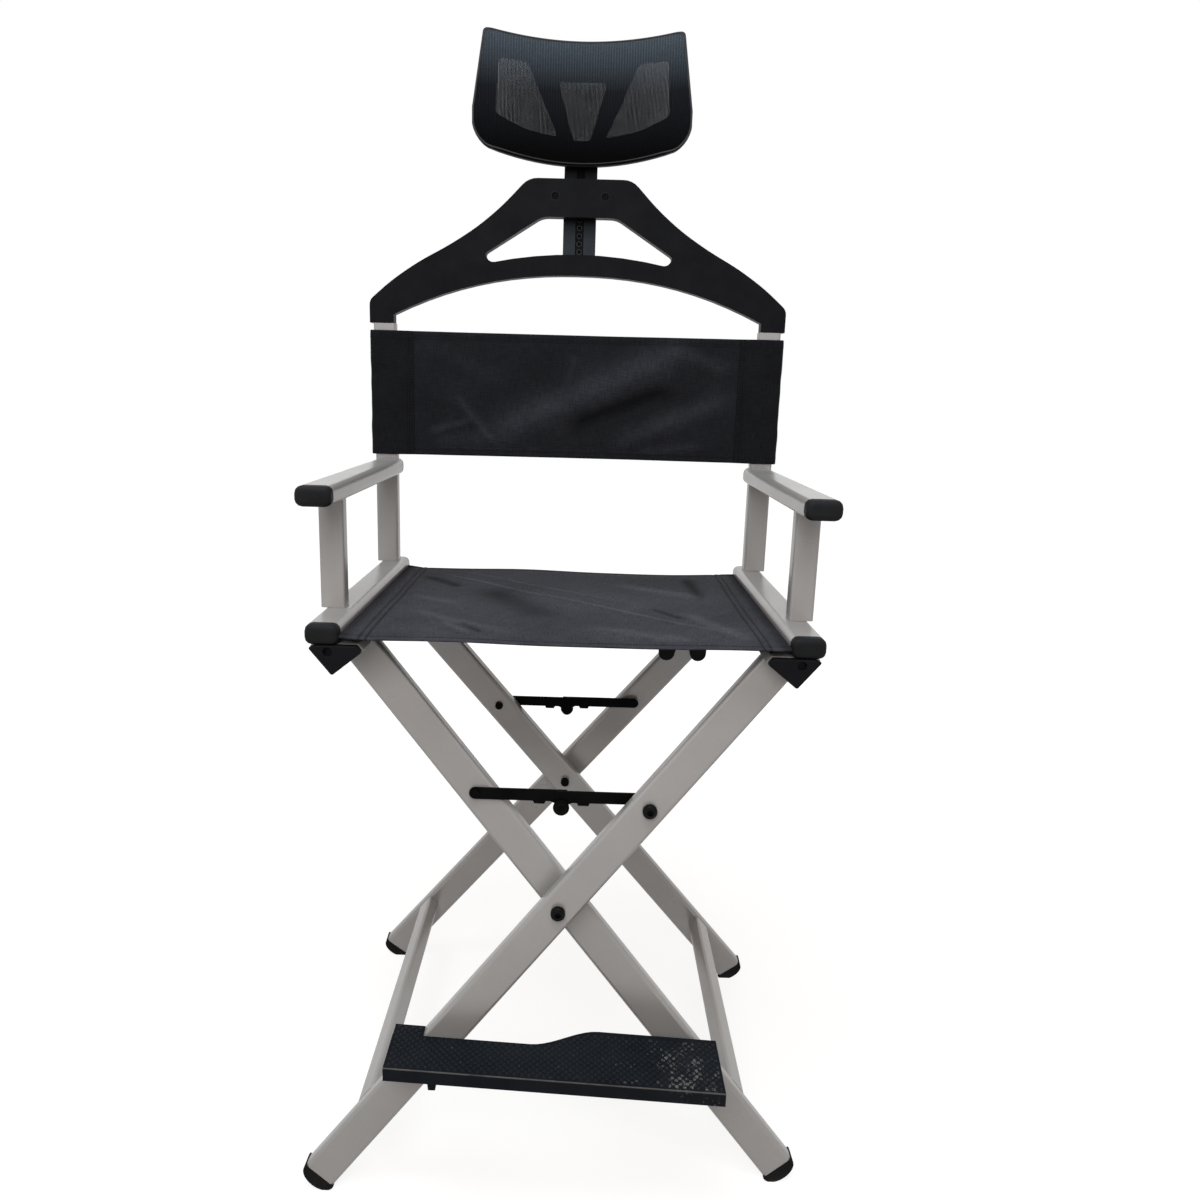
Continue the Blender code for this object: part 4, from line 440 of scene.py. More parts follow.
def ring_quads(rings, size):
    """Quads between rings of points that are numbered ring by ring."""
    ring, place = np.meshgrid(np.arange(rings - 1), np.arange(size), indexing="ij")
    beside = (place + 1) % size
    first = ring * size
    corners = (first + place, first + beside, first + size + beside, first + size + place)
    return np.stack(corners, -1).reshape(-1, 4)


def tube_faces(rings, size):
    """Faces of a closed tube: quads between its rings and one face over each end."""
    ends = [list(range(size)), list(range((rings - 1) * size, rings * size))]
    return ring_quads(rings, size).tolist() + ends


def new_object(name, data):
    made = bpy.data.objects.new(name, data)
    bpy.context.scene.collection.objects.link(made)
    return made


def new_piece(name, points, faces, finish, body, flat=None, tone_and_painted_light=None):
    """A smooth closed mesh from points and faces, on its body.

    flat gives each point's place on the cut cloth, tone how much paler or darker the cloth is painted there,
    as painted highlight and painted shade.
    """
    mesh = bpy.data.meshes.new(name)
    mesh.from_pydata(points.reshape(-1, 3).tolist(), [], faces)
    if flat is not None:
        corner = np.zeros(len(mesh.loops), np.int32)
        mesh.loops.foreach_get("vertex_index", corner)
        layer = mesh.uv_layers.new(name="flat")
        layer.data.foreach_set("uv", flat.reshape(-1, 2)[corner].astype(np.float32).ravel())
    if tone_and_painted_light is not None:
        layer = mesh.attributes.new("tone_and_painted_light", "FLOAT", "POINT")
        layer.data.foreach_set("value", tone_and_painted_light.astype(np.float32).ravel())
    shape = bmesh.new()
    shape.from_mesh(mesh)
    bmesh.ops.recalc_face_normals(shape, faces=shape.faces)
    shape.to_mesh(mesh)
    shape.free()
    mesh.shade_smooth()
    mesh.set_sharp_from_angle(angle=SHARP_ANGLE)
    mesh.materials.append(finish)
    piece = new_object(name, mesh)
    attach(piece, body)
    return piece


def shell(upper, lower):
    """Closed shell between two equal grids: each row is a ring over the upper side and back under."""
    ring = both_sides(upper, lower)
    rows, size = ring.shape[:2]
    step = np.arange(upper.shape[1] - 1)
    end = np.stack([step, step + 1, size - 2 - step, size - 1 - step], -1)
    faces = np.concatenate([ring_quads(rows, size), end, end + (rows - 1) * size])
    return ring, faces.tolist()


def both_sides(upper, lower=None):
    """Values over a shell's upper side and back under it, where they repeat unless others are given."""
    return np.concatenate([upper, (upper if lower is None else lower)[:, ::-1]], axis=1)


def copies(name, points, faces, finish, body):
    """One piece from copies: points are (copy, point, xyz), faces those of a single copy."""
    offsets = np.arange(len(points))[:, None] * points.shape[1]
    listed = [row for face in faces for row in (np.array(face) + offsets).tolist()]
    return new_piece(name, points, listed, finish, body)


def smoothstep(value):
    share = np.clip(value, 0.0, 1.0)
    return share * share * (3.0 - 2.0 * share)


def bell(offset, width):
    return np.exp(-(offset / width) ** 2)


def creases(x, y, folds):
    """Folds along lines: a bell across each line that fades in and out towards its two ends."""
    total = 0.0
    for start, end, height, width in folds:
        way = np.array(end) - np.array(start)
        length = math.hypot(*way)
        way = way / length
        along = ((x - start[0]) * way[0] + (y - start[1]) * way[1]) / length
        across = (x - start[0]) * -way[1] + (y - start[1]) * way[0]
        fade = smoothstep(along / 0.25 + 0.15) * smoothstep((1.0 - along) / 0.25 + 0.15)
        total = total + height * fade * bell(across, width)
    return total


def ripple(x, y, waves):
    """Sum of slow sine waves: (height, waves per metre each way, start)."""
    return sum(height * np.sin(2 * math.pi * (a * x + b * y) + start) for height, a, b, start in waves)


def evenly(line, count, to_end=True):
    """A line's points moved to even distances along it, and the line's length."""
    run = np.concatenate([[0.0], np.cumsum(np.linalg.norm(np.diff(line, axis=0), axis=1))])
    even = np.linspace(0.0, run[-1], count, endpoint=to_end)
    return np.stack([np.interp(even, run, line[:, axis]) for axis in (0, 1)], -1), run[-1]


# Nodes of the frame with welded, softened edges

def refine(node, finish, edge=0.0, steps=2, angle=30.0):
    """A welded copy of a CAD node on the same body, its sharp edges rounded and its flats kept flat."""
    shape = bmesh.new()
    shape.from_mesh(NODES[node].data)
    bmesh.ops.remove_doubles(shape, verts=shape.verts, dist=2e-6)
    bmesh.ops.dissolve_limit(shape, angle_limit=math.radians(0.3), verts=shape.verts, edges=shape.edges)
    mesh = bpy.data.meshes.new(node + "_finished")
    shape.to_mesh(mesh)
    shape.free()
    mesh.materials.clear()
    mesh.materials.append(finish)
    mesh.shade_smooth()
    mesh.set_sharp_from_angle(angle=math.radians(angle + 8.0))
    piece = new_object(node + "_finished", mesh)
    if edge:
        round_edge = piece.modifiers.new("round_edge", "BEVEL")
        round_edge.width = edge
        round_edge.segments = steps
        round_edge.limit_method = "ANGLE"
        round_edge.angle_limit = math.radians(angle)
        round_edge.harden_normals = True
    flats = piece.modifiers.new("flats", "WEIGHTED_NORMAL")
    flats.keep_sharp = True
    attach(piece, BODY_OF[node])
    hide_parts(node)


def named(firsts, parts):
    """Node names: each first word with each part."""
    return [f"{first}_{part}" for first in firsts for part in parts]


def finish_frame():
    """Every rigid node in its finish: welded copies of all but the hidden pins, which keep the CAD mesh."""
    sides, legs = ("right", "left"), ("outer", "inner")
    tubes = named(sides, ("seat_rail", "front_post", "rear_post", "armrest"))
    for node in tubes + named(legs, ("front_leg", "rear_leg", "stretcher")):
        refine(node, SILVER)
    for side in sides:
        refine(f"{side}_hinge_tube", SILVER, edge=0.0012, angle=25.0)
        for node in named([side], ("rail_front_cap", "rail_rear_cap", "armrest_front_cap")):
            refine(node, CAP)
        for node in named([side], ("hinge_front_cap", "hinge_rear_cap")):
            refine(node, MOULDING, edge=0.0012, angle=25.0)
        refine(f"{side}_armrest_rear_cap", CAP, edge=0.0008)
    for node in named(legs, ("front_foot", "rear_foot")):
        refine(node, RUBBER)
    for node, finish, edge, steps, angle in (
            ("headrest_hanger", MOULDING, 0.0022, 3, 32.0),
            ("headrest_post", POST_BLACK, 0.0006, 2, 32.0),
            ("headrest_post_clamp", MOULDING, 0.0012, 2, 32.0),
            ("headrest_frame", MOULDING, 0.0018, 3, 35.0),
            ("leg_clip", CAP, 0.0012, 2, 35.0),
            ("footrest_plate", PLATE, 0.0011, 2, 35.0)):
        refine(node, finish, edge, steps, angle)
    for node in named(ENDS, ("brace_left_link", "brace_right_link", "brace_knob")):
        refine(node, STEEL, edge=0.0004, angle=35.0)
    bolts = named(ENDS, ("crossing_bolt", "brace_bolt", "brace_rivet"))
    for node in bolts + ["footrest_pivot_bolt", "hanger_left_screw", "hanger_right_screw"]:
        refine(node, STEEL)
    for node in ("right_hinge_rod", "left_hinge_rod", "headrest_tilt_pin"):
        NODES[node].material_slots[0].material = STEEL


# Cloth and sewing

def cloth_rows(low, high, rounding, count):
    """Rows of a cloth from edge to edge: close at its round edges and in its hems, even between them."""
    ends = np.array((0.0, 0.0004, *rounding, *HEM_ROWS))
    inner = np.linspace(low + EVEN_ROWS, high - EVEN_ROWS, count)
    return np.concatenate([low + ends, inner, high - ends[::-1]])


def hemmed_half(edge, extra, pinch, rounding, more=0.0):
    """Half thickness by distance from a cut edge: more in the hem, less at its stitches, round at the end."""
    half = CLOTH_HALF + more + extra * smoothstep((HEM_DEPTH - edge) / 0.0012 + 0.5)
    half = half - pinch * bell(edge - HEM_STITCH, 0.0009)
    fold = np.clip(edge / rounding, 0.0, 1.0)
    return half * np.sqrt(np.maximum(1.0 - (1.0 - fold) ** 2, 0.04))


def stitch_places(start, end, lines):
    """Even places of stitches between the ends of two lines, and the place of each stitch's line."""
    count = max(int(abs(end - start) / STITCH_PITCH), 2)
    run = start + (end - start) * (np.arange(count) + 0.5) / count
    return np.tile(run, 2), np.repeat(lines, count)


def stitch_run(name, centres, along, away, body):
    """Stitches on a line: short six-sided threads, thin at both ends, lying along the seam."""
    along, away = np.array(along, float), np.array(away, float)
    turn = np.arange(6) * math.pi / 3
    places = np.array([-0.5, -0.32, 0.32, 0.5])[:, None, None] * STITCH_LENGTH
    sizes = np.array([0.35, 1.0, 1.0, 0.35])[:, None] * STITCH_RADIUS
    lift = np.array([-0.9, 0.1, 0.1, -0.9])[:, None] * STITCH_RADIUS + sizes * np.sin(turn)
    beside = np.cross(along, away) * (sizes * np.cos(turn))[..., None]
    thread = along * places + away * lift[..., None] + beside
    points = centres[:, None, :] + thread.reshape(1, -1, 3)
    return copies(name, points, tube_faces(4, 6), THREAD, body)


def gather(pieces):
    """Give each of these cloth pieces a mesh of its own."""
    for piece in pieces:
        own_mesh(piece)


# Seat cloth

SEAT_CREASES = (
    ((-0.222, 0.182), (0.210, -0.138), 0.0010, 0.0030),
    ((-0.174, 0.186), (0.087, 0.004), 0.0007, 0.0030),
    ((-0.200, -0.060), (-0.060, -0.150), 0.0006, 0.0090),
    ((0.060, 0.120), (0.200, 0.040), 0.0007, 0.0150),
    ((-0.120, 0.080), (-0.020, -0.080), -0.0008, 0.0260),
    ((0.150, -0.030), (0.215, -0.160), 0.0008, 0.0110),
    ((-0.215, 0.020), (-0.140, -0.020), 0.0006, 0.0100),
    ((0.020, -0.110), (0.150, -0.165), 0.0006, 0.0110),
    ((-0.150, -0.110), (-0.108, -0.158), 0.0009, 0.0040),
    ((-0.128, -0.110), (-0.096, -0.150), -0.0008, 0.0040),
    ((-0.217, 0.141), (-0.150, 0.075), -0.0009, 0.0100),
    ((0.176, 0.179), (0.184, 0.029), -0.0009, 0.0100),
    ((0.108, -0.018), (0.150, -0.066), -0.0008, 0.0050),
)
SEAT_WAVES = (
    (0.0005, 3.1, 1.7, 0.4),
    (0.0004, -2.2, 4.1, 1.9),
    (0.00025, 6.3, -3.4, 2.6),
    (0.0003, 1.1, -6.8, 0.9),
)


def seat_middle(x, y):
    """Middle of the seat cloth: a shallow curve between the slots, with folds that die out at the rails."""
    share = (x + SEAT_HALF) / (2.0 * SEAT_HALF)
    sag = SEAT_SAG * 4.0 * share * (1.0 - share)
    loose = smoothstep((SEAT_HALF - np.abs(x)) / 0.030)
    folds = creases(x, y, SEAT_CREASES) + ripple(x, y, SEAT_WAVES)
    edge = np.minimum(y - SEAT_FRONT, SEAT_REAR - y)
    drop = 0.0016 * bell(edge, 0.016) * (1.0 + 0.5 * np.sin(17.0 * x))
    return SLOT_HEIGHT - sag + (folds - drop) * loose


def seat_half_thickness(x, y):
    """Half thickness of the seat cloth: more in the side hems and less at their seams."""
    aside = np.abs(x)
    more = 0.0004 * smoothstep((aside - SEAT_SEAMS[0] + 0.001) / 0.0015)
    more = more - 0.0006 * sum(bell(aside - seam, 0.0013) for seam in SEAT_SEAMS)
    return hemmed_half(np.minimum(y - SEAT_FRONT, SEAT_REAR - y), 0.0005, 0.00025, 0.0014, more)


def seat_painted_light(x, y):
    """Painted light on the seat cloth: painted shade along the sewing, by the rails, to the rear and in the
    hollows, and a painted highlight on the folds.
    """
    edge = np.minimum(y - SEAT_FRONT, SEAT_REAR - y)
    aside = np.abs(x)
    tone_and_painted_light = 640.0 * creases(x, y, SEAT_CREASES) + 90.0 * ripple(x, y, SEAT_WAVES)
    tone_and_painted_light = tone_and_painted_light - 0.35 * bell(edge - HEM_STITCH, 0.0012)
    tone_and_painted_light = tone_and_painted_light - 0.6 * sum(bell(aside - seam, 0.0012) for seam in SEAT_SEAMS)
    return tone_and_painted_light - 0.50 * smoothstep((aside - 0.238) / 0.014) - 0.32 * smoothstep((y - 0.02) / 0.15)


def seat_piece(name, x_line, body):
    """Part of the seat cloth over a range across the chair: upper and lower side of the middle surface."""
    y_line = cloth_rows(SEAT_FRONT, SEAT_REAR, (0.0009, 0.0015), 150)
    y, x = np.meshgrid(y_line, x_line, indexing="ij")
    middle = seat_middle(x, y)
    half = seat_half_thickness(x, y)
    points, faces = shell(xyz(x, y, middle + half), xyz(x, y, middle - half))
    # Painted highlight and painted shade, the same on both sides of the cloth.
    tone_and_painted_light = both_sides(seat_painted_light(x, y))
    return new_piece(name, points, faces, SEAT_CLOTH_PAINTED_LIGHT, body, points[..., :2], tone_and_painted_light)


def seat_welt(name, side, body):
    """Sewn-in welt in a rail's slot: a round cord with the cloth's tail towards the seat, carried along Y."""
    turn = np.radians(np.linspace(198.0, 522.0, 15))
    tail = RAIL_FACE - 0.0012
    x = np.concatenate([WELT_X + WELT_RADIUS * np.cos(turn), [tail, tail]])
    z = SLOT_HEIGHT + np.concatenate([WELT_RADIUS * np.sin(turn), [0.001, -0.001]])
    y = np.linspace(SLOT_FRONT, SEAT_REAR - 0.001, 12)
    rings = xyz(side * x, y[:, None], z)
    faces = tube_faces(len(y), len(x))
    return new_piece(name, rings, faces, SEAT_CLOTH_PAINTED_LIGHT, body, rings[..., :2])


def seat_stitches(name, x, y, along, body):
    """Stitches that lie on the seat cloth's upper side."""
    z = seat_middle(x, y) + seat_half_thickness(x, y) + STITCH_LIFT
    return stitch_run(name, xyz(x, y, z), along, (0, 0, 1), body)


def make_seat():
    """Seat cloth: a panel, side hems with their welts, and the stitching."""
    panel = seat_piece("seat_panel", np.linspace(-SEAT_PANEL, SEAT_PANEL, 200), "right_side")
    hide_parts("seat_sling")
    across = np.linspace(SEAT_PANEL + 0.0001, RAIL_FACE - 0.0009, 34)
    for side, word in SIDES:
        body = f"{word}_side"
        seat_piece(f"seat_{word}_hem", side * across[::side], body)
        seat_welt(f"seat_{word}_welt", side, body)
        y, x = stitch_places(SEAT_FRONT + 0.003, SEAT_REAR - 0.003, side * np.array(SEAT_SEAMS))
        seat_stitches(f"seat_{word}_stitches", x, y, (0, 1, 0), body)
    hems = (SEAT_FRONT + HEM_STITCH, SEAT_REAR - HEM_STITCH)
    x, y = stitch_places(-SEAT_PANEL + 0.002, SEAT_PANEL - 0.002, hems)
    hem_run = seat_stitches("seat_hem_stitches", x, y, (1, 0, 0), "right_side")
    gather((panel, hem_run))


# Back cloth

BACK_CREASES = (
    ((-0.150, 0.901), (0.185, 1.055), 0.0056, 0.0240),
    ((0.050, 0.897), (0.245, 0.982), 0.0036, 0.0160),
    ((-0.010, 0.925), (0.150, 0.985), -0.0042, 0.0140),
    ((-0.178, 0.972), (-0.118, 0.898), 0.0026, 0.0060),
    ((-0.150, 0.935), (-0.225, 0.915), 0.0021, 0.0070),
    ((0.000, 1.035), (-0.012, 0.990), 0.0014, 0.0050),
    ((-0.235, 1.050), (-0.100, 0.985), 0.0010, 0.0140),
    ((-0.215, 0.906), (-0.130, 0.904), 0.0018, 0.0150),
    ((0.130, 1.045), (0.235, 1.015), 0.0022, 0.0110),
    ((0.090, 0.893), (0.200, 0.905), 0.0018, 0.0080),
)
BACK_WAVES = (
    (0.0007, 3.4, 5.2, 0.3),
    (0.0005, -5.1, 4.4, 2.2),
    (0.0004, 9.2, 2.0, 1.1),
    (0.0003, 2.0, 13.0, 0.0),
)
SLEEVE_WAVES = (
    (0.00022, 14.0, 9.0, 0.4),
    (0.00020, -9.0, 17.0, 1.3),
    (0.00015, 4.0, 31.0, 2.0),
)


def back_middle(x, z):
    """Middle of the back cloth: a shallow bow between the posts with slanting folds, still at its seams."""
    bow = BACK_BOW * (1.0 - (x / BACK_EDGE) ** 2)
    loose = smoothstep((BACK_PANEL - np.abs(x)) / 0.035)
    folds = creases(x, z, BACK_CREASES) + ripple(x, z, BACK_WAVES)
    return BACK_FRONT + 0.0008 + bow - folds * loose


def back_half_thickness(z):
    """Half thickness of the back cloth, hemmed at its lower and upper edge."""
    return hemmed_half(np.minimum(z - BACK_LOW, BACK_HIGH - z), 0.0004, 0.0003, 0.0012)


def back_heights(count):
    return cloth_rows(BACK_LOW, BACK_HIGH, (0.0008, 0.0013), count)


def back_panel():
    """The back cloth between its two sleeves: front and rear side of the middle surface."""
    z, x = np.meshgrid(back_heights(70), np.linspace(-BACK_PANEL, BACK_PANEL, 150), indexing="ij")
    middle = back_middle(x, z)
    half = back_half_thickness(z)
    points, faces = shell(xyz(x, middle - half, z), xyz(x, middle + half, z))
    edge = np.minimum(z - BACK_LOW, BACK_HIGH - z)
    # Painted light on the back cloth: a painted highlight on the folds, painted shade in their hollows, all
    # over and along the hem stitches.
    tone_and_painted_light = np.clip(210.0 * creases(x, z, BACK_CREASES), -0.3, 1.4)
    tone_and_painted_light = both_sides(tone_and_painted_light - 0.12 - 0.35 * bell(edge - HEM_STITCH, 0.0012))
    flat = points[..., (0, 2)]
    return new_piece("back_panel", points, faces, CLOTH, "right_side", flat, tone_and_painted_light)


def sleeve_line():
    """Plan of a sleeve: from the seam along the post's front, round its outer side and back to the seam."""
    seam_y = float(back_middle(np.array(BACK_PANEL), np.array(0.97)))
    reach_x, reach_y = POST_HALF[0] + 0.0045, POST_HALF[1] + 0.0022
    corner = 0.005
    turn = np.radians(np.linspace(0.0, 90.0, 7))
    front = np.stack([POST[0] + reach_x - corner + corner * np.sin(turn),
                      POST[1] - reach_y + corner - corner * np.cos(turn)], -1)
    rear = np.stack([front[::-1, 0], 2 * POST[1] - front[::-1, 1]], -1)
    start = [[BACK_PANEL, seam_y], [POST[0] - 0.010, POST[1] - reach_y]]
    end = [[POST[0] - 0.0165, POST[1] + reach_y], [BACK_PANEL, seam_y + 0.0016]]
    line, length = evenly(np.concatenate([start, front, rear, end]), SLEEVE_POINTS)
    for _ in range(3):
        line[1:-1] = (line[:-2] + 2.0 * line[1:-1] + line[2:]) / 4.0
    return line, length


def back_sleeve(name, side, body):
    """A sleeve: its plan carried up the post, with slight gathers, as an outer and an inner side."""
    line, length = sleeve_line()
    way = np.gradient(line, axis=0)
    out = np.stack([way[:, 1], -way[:, 0]], -1)
    out = out / np.linalg.norm(out, axis=1, keepdims=True)
    z, s = np.meshgrid(back_heights(50), np.linspace(0.0, length, len(line)), indexing="ij")
    still = smoothstep(s / 0.012) * smoothstep((length - s) / 0.012)
    waves = still * ripple(s, z, SLEEVE_WAVES)
    sewn = sum(bell(line[None, :, 0] - seam, 0.0013) for seam in BACK_SEAMS)
    half = np.minimum(back_half_thickness(z), 0.0010) - 0.0004 * sewn
    # Painted shade: the sleeves darker all over, and darker still along their seams.
    tone_and_painted_light = np.full(z.shape, -0.38) - 0.35 * sewn

    def side_points(offset):
        plan = line[None] + out[None] * (waves + offset)[..., None]
        return xyz(side * plan[..., 0], plan[..., 1], z)

    points, faces = shell(side_points(half), side_points(-half))
    flat = both_sides(np.stack([s, z], -1))
    piece = new_piece(name, points, faces, CLOTH, body, flat, both_sides(tone_and_painted_light))


def sleeve_front(x):
    """Front of a sleeve's cloth at a distance from the middle of the chair."""
    front = sleeve_line()[0][:SLEEVE_POINTS // 2]
    return np.interp(np.abs(x), front[:, 0], front[:, 1])


def back_stitches(name, x, y, z, along, body):
    """Stitches on the front of the back cloth."""
    centres = xyz(x, y - back_half_thickness(z) - STITCH_LIFT, z)
    return stitch_run(name, centres, along, (0, -1, 0), body)


def make_back():
    """Back cloth: a panel, a sleeve on each post, and the stitching."""
    panel = back_panel()
    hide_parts("back_sling")
    for side, word in SIDES:
        body = f"{word}_side"
        back_sleeve(f"back_{word}_sleeve", side, body)
        z, x = stitch_places(BACK_LOW + 0.002, BACK_HIGH - 0.002, side * np.array(BACK_SEAMS))
        back_stitches(f"back_{word}_stitches", x, sleeve_front(x), z, (0, 0, 1), body)
    hems = (BACK_LOW + HEM_STITCH, BACK_HIGH - HEM_STITCH)
    x, z = stitch_places(-BACK_PANEL + 0.002, BACK_PANEL - 0.002, hems)
    hem_run = back_stitches("back_hem_stitches", x, back_middle(x, z), z, (1, 0, 0), "right_side")
    gather((panel, hem_run))


# Headrest net

def head_edges(x, rim):
    """Lower and upper edge of the headrest across its width, inside a rim: flat curves, round corners."""
    half = HEAD_HALF - rim
    share = np.minimum(np.abs(x) / half, 1.0) ** 2
    low = HEAD_BOTTOM[0] + rim + (HEAD_BOTTOM[1] - HEAD_BOTTOM[0]) * share
    high = HEAD_TOP[0] - rim + (HEAD_TOP[1] - HEAD_TOP[0]) * share
    corner = HEAD_CORNER - rim / 2.0
    inside = np.clip(corner - (half - np.abs(x)), 0.0, corner)
    low = low + corner - np.sqrt(corner ** 2 - inside ** 2)
    top_half = HEAD_TOP_HALF - rim
    past = np.clip(np.abs(x) - top_half + HEAD_TOP_CORNER, 0.0, HEAD_TOP_CORNER)
    high = high - HEAD_TOP_CORNER + np.sqrt(HEAD_TOP_CORNER ** 2 - past ** 2)
    slope = np.clip((np.abs(x) - top_half) / (half - top_half), 0.0, 1.0)
    widest = HEAD_BOTTOM[1] + HEAD_SIDE_RISE
    return low, high - (HEAD_TOP[1] - HEAD_TOP_CORNER - rim - widest) * slope


def head_front(x):
    return HEAD_FRONT - HEAD_CURVE * (x / HEAD_HALF) ** 2


def head_across(x):
    """Directions on the headrest's front: along its width, and out of it towards the sitter."""
    slope = -2.0 * HEAD_CURVE * x / HEAD_HALF ** 2
    size = np.sqrt(1.0 + slope ** 2)
    return xyz(1.0 / size, slope / size, 0.0), xyz(slope / size, -1.0 / size, 0.0), size


def net_stand(x, share):
    """How far the net stands off the frame: most below its middle, least at its edges."""
    upright = np.sin(math.pi * np.clip(share, 0.0, 1.0) ** 0.75)
    return NET_STAND + NET_SWELL * upright * (1.0 - (np.abs(x) / HEAD_HALF) ** 4)


def make_net():
    """Headrest net: round ribs from edge to edge with narrow slits, cross threads behind, a beaded rim."""
    half = HEAD_HALF - NET_RIM
    count = int(2 * half / NET_PITCH)
    x = (np.arange(count) - (count - 1) / 2) * NET_PITCH
    low, high = head_edges(x, NET_RIM)
    share = np.linspace(0.0, 1.0, 34)
    z = low[:, None] + (high - low)[:, None] * share
    wide, out, size = head_across(x)
    turn = np.radians(np.linspace(0.0, 180.0, 7))
    across = np.cos(turn)[None, :] * ((NET_PITCH - NET_SLIT) / 2 * size)[:, None]
    depth = 0.0003 + 0.0005 * np.sin(turn)
    stand = net_stand(x[:, None], share[None, :])
    middle = xyz(x[:, None], head_front(x)[:, None], z)
    points = (middle[:, :, None, :] + wide[:, None, None, :] * across[:, None, :, None]
              + out[:, None, None, :] * (stand[:, :, None, None] + depth[None, None, :, None]))
    faces = tube_faces(*points.shape[1:3])
    net = copies("headrest_net", points.reshape(count, -1, 3), faces, NET, "headrest")
    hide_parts("headrest_mesh")
    net_threads()
    head_bead()


def net_threads():
    """Cross threads behind the ribs: level four-sided threads that follow the net's swell."""
    rows = np.linspace(HEAD_BOTTOM[1] + 0.004, HEAD_TOP[0] - 0.005, 101)[:, None]
    x = np.linspace(-HEAD_TOP_HALF + 0.008, HEAD_TOP_HALF - 0.008, 49)
    low, high = head_edges(x, NET_RIM)
    _, out, _ = head_across(x)
    stand = net_stand(x, (rows - low) / (high - low))
    centre = xyz(x, head_front(x), rows)
    turn = np.arange(4) * math.pi / 2
    lift = stand[..., None] + THREAD_RADIUS * np.sin(turn)
    ring = (centre[:, :, None, :] + out[None, :, None, :] * lift[..., None]
            + xyz(0.0, 0.0, THREAD_RADIUS * np.cos(turn)))
    points = ring.reshape(len(rows), -1, 3)
    return copies("headrest_net_threads", points, tube_faces(len(x), 4), NET, "headrest")


def head_bead():
    """Beaded rim: a circle carried round the headrest's outline, just inside its edge, in pale grey as a
    painted highlight.
    """
    x = (HEAD_HALF - BEAD_RIM) * 0.999 * np.sin(np.linspace(-math.pi / 2, math.pi / 2, 160))
    low, high = head_edges(x, BEAD_RIM)
    low = low + 0.0026 * smoothstep((HEAD_HALF - 0.012 - np.abs(x)) / 0.03)
    path = np.concatenate([np.stack([x, low], -1), np.stack([x, high], -1)[::-1]])
    path, _ = evenly(np.concatenate([path, path[:1]]), BEAD_POINTS, False)
    for _ in range(4):
        path = (np.roll(path, 1, 0) + 2.0 * path + np.roll(path, -1, 0)) / 4.0
    _, out, _ = head_across(path[:, 0])
    centre = xyz(path[:, 0], head_front(path[:, 0]), path[:, 1]) + out * 0.0006
    along = np.roll(centre, -1, 0) - np.roll(centre, 1, 0)
    along = along / np.linalg.norm(along, axis=1, keepdims=True)
    beside = np.cross(along, out)
    turn = np.arange(10) * math.pi / 5
    ring = (centre[:, None, :] + out[:, None, :] * (BEAD_RADIUS * np.sin(turn))[None, :, None]
            + beside[:, None, :] * (BEAD_RADIUS * np.cos(turn))[None, :, None])
    faces = ring_quads(BEAD_POINTS + 1, 10) % (10 * BEAD_POINTS)
    return new_piece("headrest_rim_bead", ring, faces.tolist(), RIM, "headrest")


# Footrest studs and bolt heads

def plate_rear(x):
    """Rear edge of the footrest: two straight halves joined by an easy step."""
    share = smoothstep((x - PLATE_STEP[0]) / (PLATE_STEP[1] - PLATE_STEP[0]))
    return PLATE_REAR[0] + (PLATE_REAR[1] - PLATE_REAR[0]) * share


def make_studs():
    """Grip studs of the footrest: low domes of three rings on a staggered grid over the tilted plate."""
    columns = np.arange(PLATE_LEFT + 0.006, PLATE_RIGHT - 0.004, STUD_PITCH)
    rows = np.arange(PLATE_FRONT + 0.006, PLATE_REAR[1] - 0.004, STUD_PITCH / 2)
    y, x = np.meshgrid(rows, columns, indexing="ij")
    x = x + (np.arange(len(rows)) % 2)[:, None] * STUD_PITCH / 2
    on_hook = (x < PLATE_HOOK[0]) & (y < PLATE_HOOK[1])
    keep = ((y < plate_rear(x) - 0.005) | on_hook) & (x < PLATE_RIGHT - 0.004)
    x, y = x[keep], y[keep]
    turn = np.arange(8) * math.pi / 4
    rings = np.array([(1.0, -0.25), (0.78, 0.62), (0.40, 0.95)])
    reach = STUD_RADIUS * rings[:, :1]
    dome = xyz(reach * np.cos(turn), reach * np.sin(turn), STUD_HEIGHT * rings[:, 1:]).reshape(-1, 3)
    dome = np.concatenate([dome, [(0.0, 0.0, STUD_HEIGHT)]])
    points = xyz(x, y, PLATE_TOP - x * PLATE_TILT)[:, None, :] + dome[None]
    faces = ring_quads(3, 8).tolist()
    faces += [[16 + k, 16 + (k + 1) % 8, 24] for k in range(8)] + [list(range(8))]
    copies("footrest_studs", points, faces, STUD, "footrest")


def socket_head(name, body, centre, way, radius, height):
    """Button head with a six-sided socket: rings from the socket's floor over its brim and down the dome."""
    turn = np.arange(36) * math.pi / 18
    sixth = math.pi / 6
    hexagon = 0.46 * radius * math.cos(sixth) / np.cos((turn + sixth) % (2 * sixth) - sixth)
    dome = np.radians(np.linspace(62.0, 0.0, 6))
    rings = [(hexagon * 0.02, 0.25), (hexagon, 0.25), (hexagon, 0.93)]
    rings += [(radius * np.cos(a), np.sin(a) / np.sin(dome[0])) for a in dome]
    rings += [(radius, -0.6), (radius * 0.02, -0.6)]
    points = np.stack([xyz(centre[0] + reach * np.cos(turn), centre[1] + way * height * level,
                           centre[2] + reach * np.sin(turn)) for reach, level in rings])
    new_piece(name, points, tube_faces(len(rings), 36), BOLT, body)


